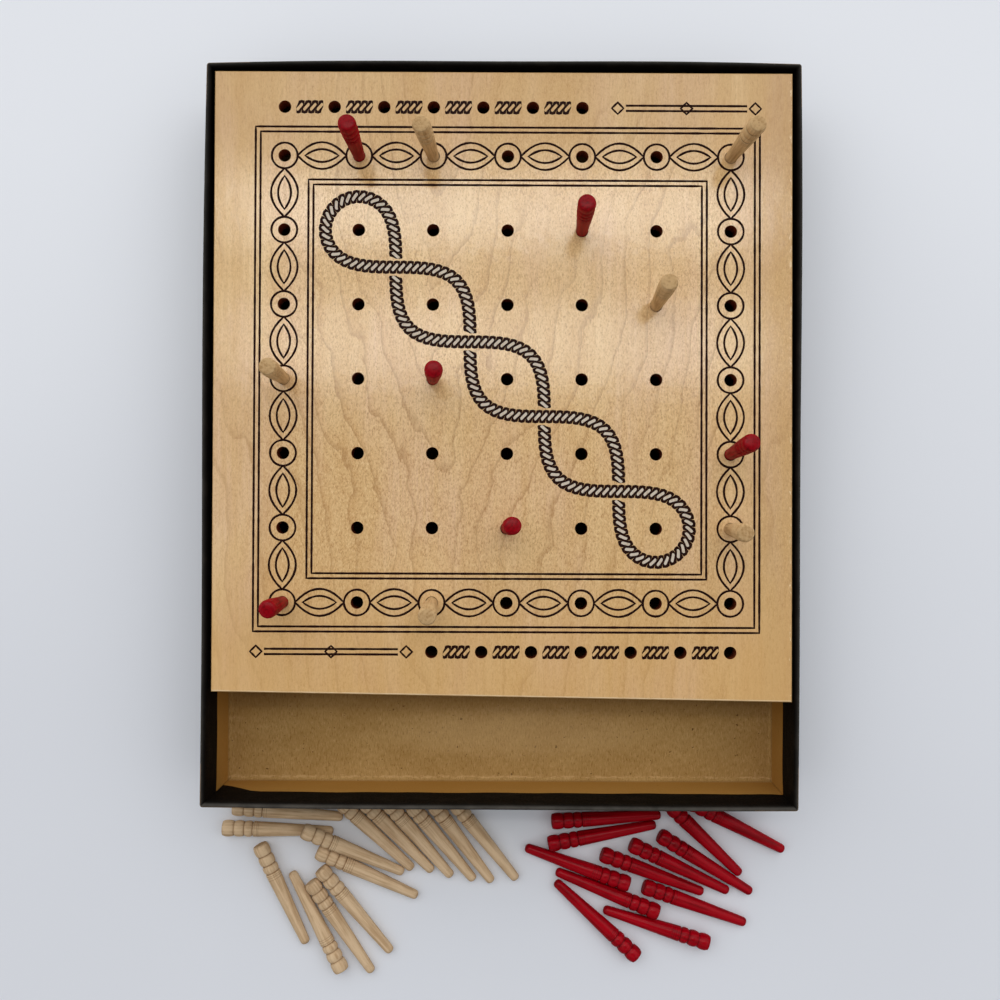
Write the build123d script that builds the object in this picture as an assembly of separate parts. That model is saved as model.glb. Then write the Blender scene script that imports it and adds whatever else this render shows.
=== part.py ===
from build123d import *
import math
import os

# A peg board game in its open box, with pegs in the board and the spare pegs lying in front.
# Millimetres, +Z up. The origin is the middle of the box's underside, +X is to the right and
# -Y is the front, where the box has its trough.

# Board: a square grid of holes, and a shorter scoring row behind it and in front of it
HOLE_PITCH = 25.4
GRID_COUNT = 7
SCORE_COUNT = 7
SCORE_STEPS = 4
SCORE_OFFSET = 16.7
HOLE_DIAMETER = 4.3
BOARD_THICKNESS = 6.35
BOARD_EASING = 0.3
MARGIN_LEFT = 24.0
MARGIN_RIGHT = 21.1
MARGIN_BACK = 28.9
MARGIN_FRONT_LEFT = 30.4
MARGIN_FRONT_RIGHT = 33.4

# Box: a tray of chipboard, wrapped in paper
CHIPBOARD = 1.2
PAPER = 0.25
BOX_HEIGHT = 34.0
BOARD_DROP = 1.0
SIDE_PLAY_LEFT = 1.05
SIDE_PLAY_RIGHT = 0.45
BACK_PLAY = 0.5
TROUGH_GAP = 34.2
TURN_IN = 15.0
CORNER_RADIUS = 1.0
CORNER_SLIT = 0.15
STAY_REACH = 14.0
STAY_TAPE = 0.15

# Board rest: a strip of chipboard folded into a frame, standing on edge under the board
REST_SETBACK = 6.0
REST_FOLD = 2.0
REST_SEAM = 0.2

# Peg: three turned beads, then a taper that wedges in a hole
PEG_LENGTH = 40.5
HEAD_DIAMETER = 5.9
HEAD_LENGTH = 4.2
DOME_RISE = 0.45
SECOND_BEAD_DIAMETER = 5.8
SECOND_BEAD_LENGTH = 3.2
THIRD_BEAD_DIAMETER = 5.7
THIRD_BEAD_LENGTH = 2.6
GROOVE_WIDTH = 0.5
GROOVE_DEPTH = 0.3
NECK_DIAMETER = 5.5
TIP_DIAMETER = 3.4
PEG_PLAY = 0.15
PLAY_LEFT = 0.02

# Spare pegs lie on what the box stands on, this far clear of it and of each other
REST_GAP = 0.02
PILE_GAP = 0.15
# A peg's mass is centred this share of its length from the head
MASS_SHARE = 0.42

# Standing pegs: row from the back, column from the left, how much of its play the peg leans by,
# and the way that it leans, in degrees from +X
RED_STANDING = (
    (1, 2, 0.19, 108),
    (2, 5, 0.51, 126),
    (4, 3, 0.88, -18),
    (5, 7, 0.88, 84),
    (6, 4, 0.79, 39),
    (7, 1, 0.56, 12),
)
NATURAL_STANDING = (
    (1, 3, 0.88, 171),
    (1, 7, 0.88, 21),
    (3, 6, 0.65, 99),
    (4, 1, 0.37, 0),
    (6, 7, 0.74, -156),
    (7, 3, 0.7, -78),
)

# Spare pegs: the middle's place to the right of the box's middle and in front of its front wall,
# and the way that the tip points, in degrees from +X
NATURAL_SPARE = (
    (-77.9, 10.2, -5.3),
    (-81.5, 16.6, -2),
    (-53.5, 23.9, -25.1),
    (-48.6, 32.6, -24.4),
    (-79.5, 40.1, -65),
    (-67.0, 50.1, 118),
    (-58.0, 52.1, -56),
    (-52.8, 46.0, -49.9),
    (-46.8, 17.3, -43.1),
    (-38.9, 17.5, -45.6),
    (-30.9, 18.5, -49.3),
    (-22.4, 19.6, -50.1),
    (-15.0, 19.6, -53),
    (-6.5, 19.1, -51),
)
RED_SPARE = (
    (35.5, 6.1, -1),
    (39.0, 12.1, 3),
    (37.5, 18.0, 9.9),
    (28.5, 29.6, 161.2),
    (56.0, 32.1, -21),
    (66.0, 30.1, -26),
    (75.5, 28.6, -32),
    (74.0, 18.6, -44),
    (86.5, 14.6, -27),
    (39.5, 39.1, 158.9),
    (71.5, 43.6, -20),
    (57.5, 51.6, 163),
    (35.5, 49.1, 138),
)
# The third natural spare peg lies with its head over the tip of the second
LOWER_PEG = 2
UPPER_PEG = 3

# Sizes that follow: the board, then the box round it
GRID_SPAN = (GRID_COUNT - 1) * HOLE_PITCH
SCORE_PITCH = SCORE_STEPS * HOLE_PITCH / (SCORE_COUNT - 1)
HOLE_RADIUS = HOLE_DIAMETER / 2
BOARD_WIDTH = MARGIN_LEFT + GRID_SPAN + MARGIN_RIGHT
BOARD_LENGTH_LEFT = MARGIN_BACK + GRID_SPAN + MARGIN_FRONT_LEFT
BOARD_LENGTH_RIGHT = MARGIN_BACK + GRID_SPAN + MARGIN_FRONT_RIGHT
BOARD_LENGTH = max(BOARD_LENGTH_LEFT, BOARD_LENGTH_RIGHT)
WALL_STACK = PAPER + CHIPBOARD + PAPER
MOUTH_WIDTH = SIDE_PLAY_LEFT + BOARD_WIDTH + SIDE_PLAY_RIGHT
MOUTH_LENGTH = BACK_PLAY + BOARD_LENGTH + TROUGH_GAP
BOX_WIDTH = MOUTH_WIDTH + 2 * WALL_STACK
BOX_LENGTH = MOUTH_LENGTH + 2 * WALL_STACK
TRAY_WIDTH = BOX_WIDTH - 2 * PAPER
TRAY_LENGTH = BOX_LENGTH - 2 * PAPER
FLOOR_TOP = PAPER + CHIPBOARD
BOARD_TOP = BOX_HEIGHT - BOARD_DROP
BOARD_UNDERSIDE = BOARD_TOP - BOARD_THICKNESS
BOARD_LEFT = SIDE_PLAY_LEFT - MOUTH_WIDTH / 2
BOARD_BACK = MOUTH_LENGTH / 2 - BACK_PLAY
GRID_X = BOARD_LEFT + MARGIN_LEFT + GRID_SPAN / 2
GRID_Y = BOARD_BACK - MARGIN_BACK - GRID_SPAN / 2

# Sizes that follow: the peg, measured down from the end of its head
SECOND_BEAD_AT = HEAD_LENGTH + GROOVE_WIDTH
THIRD_BEAD_AT = SECOND_BEAD_AT + SECOND_BEAD_LENGTH + GROOVE_WIDTH
LAST_GROOVE_AT = THIRD_BEAD_AT + THIRD_BEAD_LENGTH
NECK_AT = LAST_GROOVE_AT + GROOVE_WIDTH
TIP_AT = PEG_LENGTH - TIP_DIAMETER / 2
TAPER = (NECK_DIAMETER - TIP_DIAMETER) / 2 / (TIP_AT - NECK_AT)
SEAT_AT = NECK_AT + (NECK_DIAMETER / 2 - (HOLE_RADIUS - PEG_PLAY)) / TAPER


def block(width, length, height, radius=0.0):
    """An upright block on the plane Z = 0, with its upright edges rounded."""
    outline = RectangleRounded(width, length, radius) if radius else Rectangle(width, length)
    return extrude(outline, height)


def shelf(low, high, width, length, radius=0.0):
    """A block between two heights, centred on the box."""
    return Pos(0, 0, low) * block(width, length, high - low, radius)


def grid_hole(row, column):
    """The place of a hole of the grid, by its row from the back and its column from the left."""
    x = GRID_X - GRID_SPAN / 2 + (column - 1) * HOLE_PITCH
    y = GRID_Y + GRID_SPAN / 2 - (row - 1) * HOLE_PITCH
    return x, y


def score_holes():
    """Both scoring rows: the back one starts over the first column, the front one ends at the last."""
    back_x, back_y = grid_hole(1, 1)
    front_x, front_y = grid_hole(GRID_COUNT, GRID_COUNT)
    back = [(back_x + i * SCORE_PITCH, back_y + SCORE_OFFSET) for i in range(SCORE_COUNT)]
    front = [(front_x - i * SCORE_PITCH, front_y - SCORE_OFFSET) for i in range(SCORE_COUNT)]
    return back + front


def make_board():
    """The plywood board, with its front edge cut a little out of square and every hole right through."""
    right = BOARD_LEFT + BOARD_WIDTH
    outline = make_face(
        Polyline(
            (BOARD_LEFT, BOARD_BACK),
            (right, BOARD_BACK),
            (right, BOARD_BACK - BOARD_LENGTH_RIGHT),
            (BOARD_LEFT, BOARD_BACK - BOARD_LENGTH_LEFT),
            close=True,
        )
    )
    slab = extrude(outline, BOARD_THICKNESS)
    level = slab.edges().filter_by(lambda edge: abs(edge.tangent_at(0.5).Z) < 0.5)
    slab = chamfer(level, BOARD_EASING)
    places = [grid_hole(r, c) for r in range(1, GRID_COUNT + 1) for c in range(1, GRID_COUNT + 1)]
    drill = Sketch() + [Pos(x, y) * Circle(HOLE_RADIUS) for x, y in places + score_holes()]
    return Pos(0, 0, BOARD_UNDERSIDE) * (slab - extrude(drill, BOARD_THICKNESS))


def make_stays():
    """Four strips of paper tape, each folded round an outside corner of the tray and let into it."""
    low, high = FLOOR_TOP, BOX_HEIGHT - PAPER
    radius = CORNER_RADIUS - PAPER
    outside = shelf(low, high, TRAY_WIDTH, TRAY_LENGTH, radius)
    inside = shelf(
        low, high, TRAY_WIDTH - 2 * STAY_TAPE, TRAY_LENGTH - 2 * STAY_TAPE, radius - STAY_TAPE
    )
    ring = outside - inside
    reach = 2 * STAY_REACH
    stays = []
    for side in (-1, 1):
        for end in (-1, 1):
            corner = Pos(side * TRAY_WIDTH / 2, end * TRAY_LENGTH / 2, low)
            stays.append(ring & (corner * block(reach, reach, high - low)))
    return stays


def make_tray(stays):
    """The scored and folded chipboard tray: a floor and four walls that meet at open corner slits."""
    top = BOX_HEIGHT - PAPER
    hollow_width = TRAY_WIDTH - 2 * CHIPBOARD
    hollow_length = TRAY_LENGTH - 2 * CHIPBOARD
    tray = shelf(PAPER, top, TRAY_WIDTH, TRAY_LENGTH, CORNER_RADIUS - PAPER)
    tray -= shelf(FLOOR_TOP, top, hollow_width, hollow_length)
    for side in (-1, 1):
        for end in (-1, 1):
            slit = block(CORNER_SLIT, 2 * CHIPBOARD, top - FLOOR_TOP)
            tray -= Pos(side * hollow_width / 2, end * (hollow_length / 2 + CHIPBOARD), FLOOR_TOP) * slit
    for stay in stays:
        tray -= stay
    return tray


def make_side_wrap():
    """The paper round the walls, over the rim and a little way down inside."""
    rim = BOX_HEIGHT - PAPER
    wrap = shelf(PAPER, BOX_HEIGHT, BOX_WIDTH, BOX_LENGTH, CORNER_RADIUS)
    wrap -= shelf(PAPER, rim, TRAY_WIDTH, TRAY_LENGTH, CORNER_RADIUS - PAPER)
    turn_in = shelf(rim - TURN_IN, rim, MOUTH_WIDTH + 2 * PAPER, MOUTH_LENGTH + 2 * PAPER)
    wrap += turn_in
    wrap -= shelf(rim - TURN_IN, BOX_HEIGHT, MOUTH_WIDTH, MOUTH_LENGTH)
    return wrap


def make_bottom_sheet():
    """The sheet of paper under the tray."""
    return shelf(0, PAPER, BOX_WIDTH, BOX_LENGTH, CORNER_RADIUS)


def make_board_rest():
    """The frame that carries the board: one folded strip on edge, its ends meeting at the back."""
    front = BOARD_BACK - min(BOARD_LENGTH_LEFT, BOARD_LENGTH_RIGHT) + REST_SETBACK
    length = BOARD_BACK - front
    middle_x = BOARD_LEFT + BOARD_WIDTH / 2
    middle_y = (BOARD_BACK + front) / 2
    height = BOARD_UNDERSIDE - FLOOR_TOP
    frame = block(BOARD_WIDTH, length, height, REST_FOLD)
    frame -= block(BOARD_WIDTH - 2 * CHIPBOARD, length - 2 * CHIPBOARD, height, REST_FOLD - CHIPBOARD)
    frame -= Pos(0, length / 2, 0) * block(REST_SEAM, 3 * CHIPBOARD, height)
    return Pos(middle_x, middle_y, FLOOR_TOP) * frame


def bead(start, length, diameter, root):
    """The outline of a turned bead: an arc that bulges out between its two roots."""
    return ThreePointArc((root, -start), (diameter / 2, -start - length / 2), (root, -start - length))


def make_peg():
    """A peg with its axis on Z, the end of its head at Z = 0 and its tip pointing down."""
    head_root = HEAD_DIAMETER / 2 - GROOVE_DEPTH
    second_root = SECOND_BEAD_DIAMETER / 2 - GROOVE_DEPTH
    third_root = THIRD_BEAD_DIAMETER / 2 - GROOVE_DEPTH
    dome_edge = (head_root, -DOME_RISE)
    dome_middle = (head_root / 2, -DOME_RISE / 4)
    tip_radius = TIP_DIAMETER / 2
    tip_middle = (tip_radius * math.sin(math.pi / 4), -TIP_AT - tip_radius * math.cos(math.pi / 4))
    side = [
        ThreePointArc((0, 0), dome_middle, dome_edge),
        bead(DOME_RISE, HEAD_LENGTH - DOME_RISE, HEAD_DIAMETER, head_root),
        Line((head_root, -HEAD_LENGTH), (second_root, -SECOND_BEAD_AT)),
        bead(SECOND_BEAD_AT, SECOND_BEAD_LENGTH, SECOND_BEAD_DIAMETER, second_root),
        Line((second_root, -SECOND_BEAD_AT - SECOND_BEAD_LENGTH), (third_root, -THIRD_BEAD_AT)),
        bead(THIRD_BEAD_AT, THIRD_BEAD_LENGTH, THIRD_BEAD_DIAMETER, third_root),
        Line((third_root, -LAST_GROOVE_AT), (NECK_DIAMETER / 2, -NECK_AT)),
        Line((NECK_DIAMETER / 2, -NECK_AT), (tip_radius, -TIP_AT)),
        ThreePointArc((tip_radius, -TIP_AT), tip_middle, (0, -PEG_LENGTH)),
        Line((0, -PEG_LENGTH), (0, 0)),
    ]
    return revolve(Plane.XZ * make_face(side), Axis.Z)


def along(point, head_way):
    """The location that carries a peg's head end to a point, with its head the given way from its tip."""
    level = Vector(0, 0, 1).cross(head_way)
    if level.length < 1e-6:
        level = Vector(1, 0, 0)
    return Location(Plane(origin=point, x_dir=level, z_dir=head_way))


def greatest_lean():
    """The most that a peg can lean in its hole, in radians, with a little play left at both ends."""
    mouth = PEG_PLAY - PLAY_LEFT
    underside = mouth + TAPER * BOARD_THICKNESS
    return math.atan((mouth + underside) / BOARD_THICKNESS)


def rocking_depth():
    """How far below the board's top a leaning peg rocks, so that it takes up its play at both ends alike."""
    mouth = PEG_PLAY - PLAY_LEFT
    return BOARD_THICKNESS * mouth / (2 * mouth + TAPER * BOARD_THICKNESS)


def standing_way(share, heading):
    """The way that a standing peg points, from its tip to its head."""
    lean = share * greatest_lean()
    turn = math.radians(heading)
    return Vector(math.sin(lean) * math.cos(turn), math.sin(lean) * math.sin(turn), math.cos(lean))


def stand(peg, row, column, share, heading):
    """A peg stood in a hole of the grid."""
    x, y = grid_hole(row, column)
    way = standing_way(share, heading)
    pivot = Vector(x, y, BOARD_TOP - rocking_depth())
    return along(pivot + way * (SEAT_AT + rocking_depth()), way) * peg


def peg_radius(at):
    """The greatest radius of a peg at or near a distance from the end of its head."""
    if at < NECK_AT:
        return HEAD_DIAMETER / 2
    return NECK_DIAMETER / 2 - TAPER * (at - NECK_AT)


def resting_line(supports):
    """The height of a lying peg's axis at its middle of mass, and its slope towards the tip.

    supports are (distance from the head's end, least height of the axis there). The peg lies on the
    two of them, one each side of its mass, that hold it highest.
    """
    mass_at = MASS_SHARE * PEG_LENGTH
    best = (0.0, 0.0)
    for near in (s for s in supports if s[0] <= mass_at):
        for far in (s for s in supports if s[0] > mass_at):
            slope = (far[1] - near[1]) / (far[0] - near[0])
            best = max(best, (near[1] + slope * (mass_at - near[0]), slope))
    return best


def floor_supports():
    """Where a peg alone can touch the floor: its three beads, its neck and its tip."""
    touching = (
        ((DOME_RISE + HEAD_LENGTH) / 2, HEAD_DIAMETER),
        (SECOND_BEAD_AT + SECOND_BEAD_LENGTH / 2, SECOND_BEAD_DIAMETER),
        (THIRD_BEAD_AT + THIRD_BEAD_LENGTH / 2, THIRD_BEAD_DIAMETER),
        (NECK_AT, NECK_DIAMETER),
        (TIP_AT, TIP_DIAMETER),
    )
    return [(at, diameter / 2 + REST_GAP) for at, diameter in touching]


def plan_point(place, at):
    """The point of a lying peg's axis, seen from above, at a distance from the end of its head."""
    x, ahead, heading = place
    turn = math.radians(heading)
    reach = at - PEG_LENGTH / 2
    return x + reach * math.cos(turn), -BOX_LENGTH / 2 - ahead + reach * math.sin(turn)


def crossing_support(upper, lower):
    """Where the upper of two crossing pegs lies on the lower one, and how high that holds its axis."""
    lower_height, lower_slope = resting_line(floor_supports())
    x, y = plan_point(upper, 0)
    other_x, other_y = plan_point(lower, 0)
    turn, other_turn = math.radians(upper[2]), math.radians(lower[2])
    cross = math.sin(other_turn - turn)
    at = ((other_x - x) * math.sin(other_turn) - (other_y - y) * math.cos(other_turn)) / cross
    other_at = ((other_x - x) * math.sin(turn) - (other_y - y) * math.cos(turn)) / cross
    axis_height = lower_height + lower_slope * (other_at - MASS_SHARE * PEG_LENGTH)
    return at, axis_height + peg_radius(other_at) + peg_radius(at) + PILE_GAP


def lay(peg, place, lower=None):
    """A spare peg lying in front of the box, alone or with its head over another."""
    supports = floor_supports()
    if lower:
        supports.append(crossing_support(place, lower))
    height, slope = resting_line(supports)
    turn = math.radians(place[2])
    x, y = plan_point(place, PEG_LENGTH / 2)
    middle_height = height + slope * (0.5 - MASS_SHARE) * PEG_LENGTH
    tip_way = Vector(math.cos(turn), math.sin(turn), slope).normalized()
    head_end = Vector(x, y, middle_height) - tip_way * (PEG_LENGTH / 2)
    return along(head_end, tip_way * -1) * peg


def make_all():
    """Every node of the game, by name."""
    stays = make_stays()
    peg = make_peg()
    nodes = {
        "tray": make_tray(stays),
        "corner_stays": Compound(children=stays),
        "side_wrap": make_side_wrap(),
        "bottom_sheet": make_bottom_sheet(),
        "board_rest": make_board_rest(),
        "board": make_board(),
    }
    for colour, places in (("red", RED_STANDING), ("natural", NATURAL_STANDING)):
        for number, place in enumerate(places, 1):
            nodes[f"{colour}_peg_{number}"] = stand(peg, *place)
    for colour, places in (("red", RED_SPARE), ("natural", NATURAL_SPARE)):
        for number, place in enumerate(places, 1):
            crosses = colour == "natural" and number == UPPER_PEG
            lower = places[LOWER_PEG - 1] if crosses else None
            nodes[f"{colour}_spare_{number}"] = lay(peg, place, lower)
    return nodes


os.makedirs("parts", exist_ok=True)
for name, shape in make_all().items():
    export_step(shape, f"parts/{name}.step")
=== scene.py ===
"""Looks of a peg board game: a papered box with a printed board on it, its pegs and spare pegs.

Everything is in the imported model's frame, with +Z up, -Y the front and the origin under the
middle of the box. Sizes in the classes are millimetres, and meshes are made in metres.
"""

import logging
import math
import random
from dataclasses import dataclass
from enum import Enum

import bmesh
import bpy
import numpy as np
from bpy.types import ID, Material, Mesh, Node, NodeSocket, NodeTree, Object
from mathutils import Euler, Matrix, Vector
from mathutils.noise import noise


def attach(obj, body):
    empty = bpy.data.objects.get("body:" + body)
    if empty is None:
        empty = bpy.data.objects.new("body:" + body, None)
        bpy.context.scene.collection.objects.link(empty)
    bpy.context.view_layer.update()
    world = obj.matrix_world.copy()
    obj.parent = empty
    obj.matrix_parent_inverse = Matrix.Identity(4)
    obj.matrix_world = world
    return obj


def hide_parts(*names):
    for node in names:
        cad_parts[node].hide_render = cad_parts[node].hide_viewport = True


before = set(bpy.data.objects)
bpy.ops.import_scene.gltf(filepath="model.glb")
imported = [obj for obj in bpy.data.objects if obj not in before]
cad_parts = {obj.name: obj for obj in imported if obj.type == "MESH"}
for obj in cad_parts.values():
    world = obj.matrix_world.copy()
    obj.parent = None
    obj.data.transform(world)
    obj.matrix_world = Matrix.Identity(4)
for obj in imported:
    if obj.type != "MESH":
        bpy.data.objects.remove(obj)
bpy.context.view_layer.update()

MM = 0.001
LOG = logging.getLogger("peg_board_game")

Colour = tuple[float, float, float, float]
Point = tuple[float, float]
Triple = tuple[float, float, float]
Station = tuple[int, float, float]


def tone(red: float, green: float, blue: float) -> Colour:
    """A colour as it looks on a screen, in the linear values that shaders use.

    Args:
        red: its red, from 0 to 255.
        green: its green.
        blue: its blue.

    Returns:
        The colour, with an alpha of 1.
    """
    shares = (red / 255, green / 255, blue / 255)
    linear = [s / 12.92 if s <= 0.04045 else ((s + 0.055) / 1.055) ** 2.4 for s in shares]
    return (*linear, 1.0)


class Flow:
    """A value in a tree of nodes, that sums are written on as on a number."""

    def __init__(self, tree: "Tree", socket: NodeSocket) -> None:
        """Notes the tree, and the socket by which the value leaves its node."""
        self.tree = tree
        self.socket = socket

    def maths(self, operation: str, other: "Feed" = 0.0) -> "Flow":
        """The result of one named sum on this value, and on another where it takes two."""
        return self.tree.maths(operation, self, other)

    def __add__(self, other: "Feed") -> "Flow":
        """This value and another, added up."""
        return self.maths("ADD", other)

    def __sub__(self, other: "Feed") -> "Flow":
        """This value less another."""
        return self.maths("SUBTRACT", other)

    def __rsub__(self, other: float) -> "Flow":
        """A number less this value."""
        return self.tree.maths("SUBTRACT", other, self)

    def __mul__(self, other: "Feed") -> "Flow":
        """This value times another."""
        return self.maths("MULTIPLY", other)

    def __truediv__(self, other: "Feed") -> "Flow":
        """This value divided by another."""
        return self.maths("DIVIDE", other)

    def __abs__(self) -> "Flow":
        """This value without its sign."""
        return self.maths("ABSOLUTE")

    def span(self, low: float, high: float, start: float = 0.0, end: float = 1.0) -> "Flow":
        """Brings this value from one range to another, eased.

        Args:
            low: where the first range begins.
            high: where it ends, which may be below where it begins.
            start: what low becomes, and all beyond it.
            end: what high becomes, and all beyond it.

        Returns:
            The new value.
        """
        settings = {"interpolation_type": "SMOOTHSTEP"}
        limits = {"From_Min": low, "From_Max": high, "To_Min": start, "To_Max": end}
        return self.tree.flow("ShaderNodeMapRange", settings, Value=self, **limits)


Feed = Flow | ID | float | int | tuple | str


class Tree:
    """Adds nodes to a tree and joins them up."""

    def __init__(self, tree: NodeTree) -> None:
        """Starts on an empty tree."""
        self.tree = tree
        tree.nodes.clear()

    def add(self, kind: str, settings: dict[str, object] | None = None, **feeds: Feed) -> Node:
        """Adds a node.

        Args:
            kind: the node's type.
            settings: properties of the node itself.
            feeds: what goes into its sockets, by name with underscores, or by number as in _0.

        Returns:
            The new node.
        """
        node = self.tree.nodes.new(kind)
        for name, value in (settings or {}).items():
            setattr(node, name, value)
        for name, value in feeds.items():
            socket = node.inputs[int(name[1:]) if name[0] == "_" else name.replace("_", " ")]
            if isinstance(value, Flow):
                self.tree.links.new(value.socket, socket)
            else:
                socket.default_value = value
        return node

    def flow(
        self, kind: str, settings: dict[str, object] | None = None, out: int | str = 0, **feeds: Feed
    ) -> Flow:
        """Adds a node as add does, and takes one of its outputs by number or name."""
        return Flow(self, self.add(kind, settings, **feeds).outputs[out])

    def maths(self, operation: str, first: Feed, second: Feed = 0.0) -> Flow:
        """The result of one sum on one or two values."""
        return self.flow("ShaderNodeMath", {"operation": operation}, _0=first, _1=second)

    def split(self, vector: Flow) -> tuple[Flow, ...]:
        """The three parts of a vector."""
        parts = self.add("ShaderNodeSeparateXYZ", Vector=vector).outputs
        return tuple(Flow(self, part) for part in parts)

    def vector(self, x: Feed = 0.0, y: Feed = 0.0, z: Feed = 0.0) -> Flow:
        """A vector of three parts."""
        return self.flow("ShaderNodeCombineXYZ", X=x, Y=y, Z=z)


@dataclass(frozen=True)
class Grain:
    """A random pattern in a surface, its scale in changes to the millimetre each way."""

    scale: Triple
    detail: float = 2.0
    roughness: float = 0.5
    shift: Triple = (0, 0, 0)
    distortion: float = 0.0


class Paint(Tree):
    """One material and the texture nodes that it is made of."""

    def __init__(self, name: str, attribute: str = "") -> None:
        """Starts an empty material.

        Args:
            name: its name.
            attribute: the attribute, in millimetres, that its patterns follow, if not the object.
        """
        self.material = bpy.data.materials.new(name)
        self.material.use_nodes = True
        self.attribute = attribute
        super().__init__(self.material.node_tree)

    def read(self, attribute: str, part: str = "Fac") -> Flow:
        """The value of an attribute that the mesh carries."""
        return self.flow("ShaderNodeAttribute", {"attribute_name": attribute}, part)

    def place(self, scale: Triple = (1, 1, 1), shift: Triple = (0, 0, 0)) -> Flow:
        """The place on the surface.

        Args:
            scale: what its millimetres are multiplied by.
            shift: what is added then.

        Returns:
            The coordinates.
        """
        if self.attribute:
            source, size = self.read(self.attribute, "Vector"), scale
        else:
            source = self.flow("ShaderNodeTexCoord", None, "Object")
            size = tuple(s / MM for s in scale)
        return self.flow("ShaderNodeMapping", Vector=source, Location=shift, Scale=size)

    def spot(self) -> tuple[Flow, ...]:
        """The place on the surface across, along and up, in millimetres."""
        return self.split(self.place())

    def noise(self, grain: Grain) -> Flow:
        """Smooth random values about 0.5, in a pattern.

        Args:
            grain: the pattern.

        Returns:
            The values.
        """
        looks = {"Detail": grain.detail, "Roughness": grain.roughness, "Distortion": grain.distortion}
        place = self.place(grain.scale, grain.shift)
        return self.flow("ShaderNodeTexNoise", Vector=place, Scale=1.0, **looks)

    def mix(self, share: Feed, first: Feed, second: Feed) -> Flow:
        """A colour between two colours."""
        return self.flow("ShaderNodeMix", {"data_type": "RGBA"}, 2, _0=share, _6=first, _7=second)

    def coats(self, ground: Feed, *coats: tuple[Flow, Feed]) -> Feed:
        """Lays colours over one another.

        Args:
            ground: the first colour.
            coats: how far each next one covers what is there, and its colour.

        Returns:
            The colour that results.
        """
        for share, colour in coats:
            ground = self.mix(share, ground, colour)
        return ground

    def bump(self, height: Flow, depth: float, under: Flow | None = None) -> Flow:
        """Raises a surface.

        Args:
            height: how high each spot stands, from 0 to 1.
            depth: what 1 stands for, in millimetres.
            under: the normal of the surface that this lies on.

        Returns:
            The surface's normal.
        """
        ground = {"Normal": under} if under else {}
        return self.flow("ShaderNodeBump", Height=height, Distance=depth * MM, Strength=1.0, **ground)

    def finish(self, **feeds: Feed) -> Material:
        """Ends the material in one surface shader, fed as add feeds a node, and returns it."""
        self.add("ShaderNodeOutputMaterial", Surface=self.flow("ShaderNodeBsdfPrincipled", **feeds))
        return self.material


@dataclass(frozen=True)
class LacquerFinish:
    """Clear lacquer over the board's face and its print."""

    grain: Grain = Grain((3.0, 0.45, 3.0), 3, 0.6)
    grain_depth: float = 0.012
    waves: Grain = Grain((0.35, 0.2, 0.3), 3)
    wave_depth: float = 0.03
    roughness: float = 0.11

    def relief(self, paint: Paint) -> Flow:
        """The lacquer's surface: the wood's grain showing through, and slow waves."""
        waves = paint.bump(paint.noise(self.waves), self.wave_depth)
        return paint.bump(paint.noise(self.grain), self.grain_depth, waves)

    def over(self, paint: Paint, colour: Flow) -> Material:
        """Ends a material in a ground under this lacquer.

        Args:
            paint: the material so far.
            colour: the ground's colour.

        Returns:
            The material.
        """
        normal = self.relief(paint)
        return paint.finish(
            Base_Color=colour,
            Roughness=0.65,
            Specular_IOR_Level=0.0,
            Normal=normal,
            Coat_Weight=1.0,
            Coat_Roughness=self.roughness,
            Coat_IOR=1.5,
            Coat_Normal=normal,
        )


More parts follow.
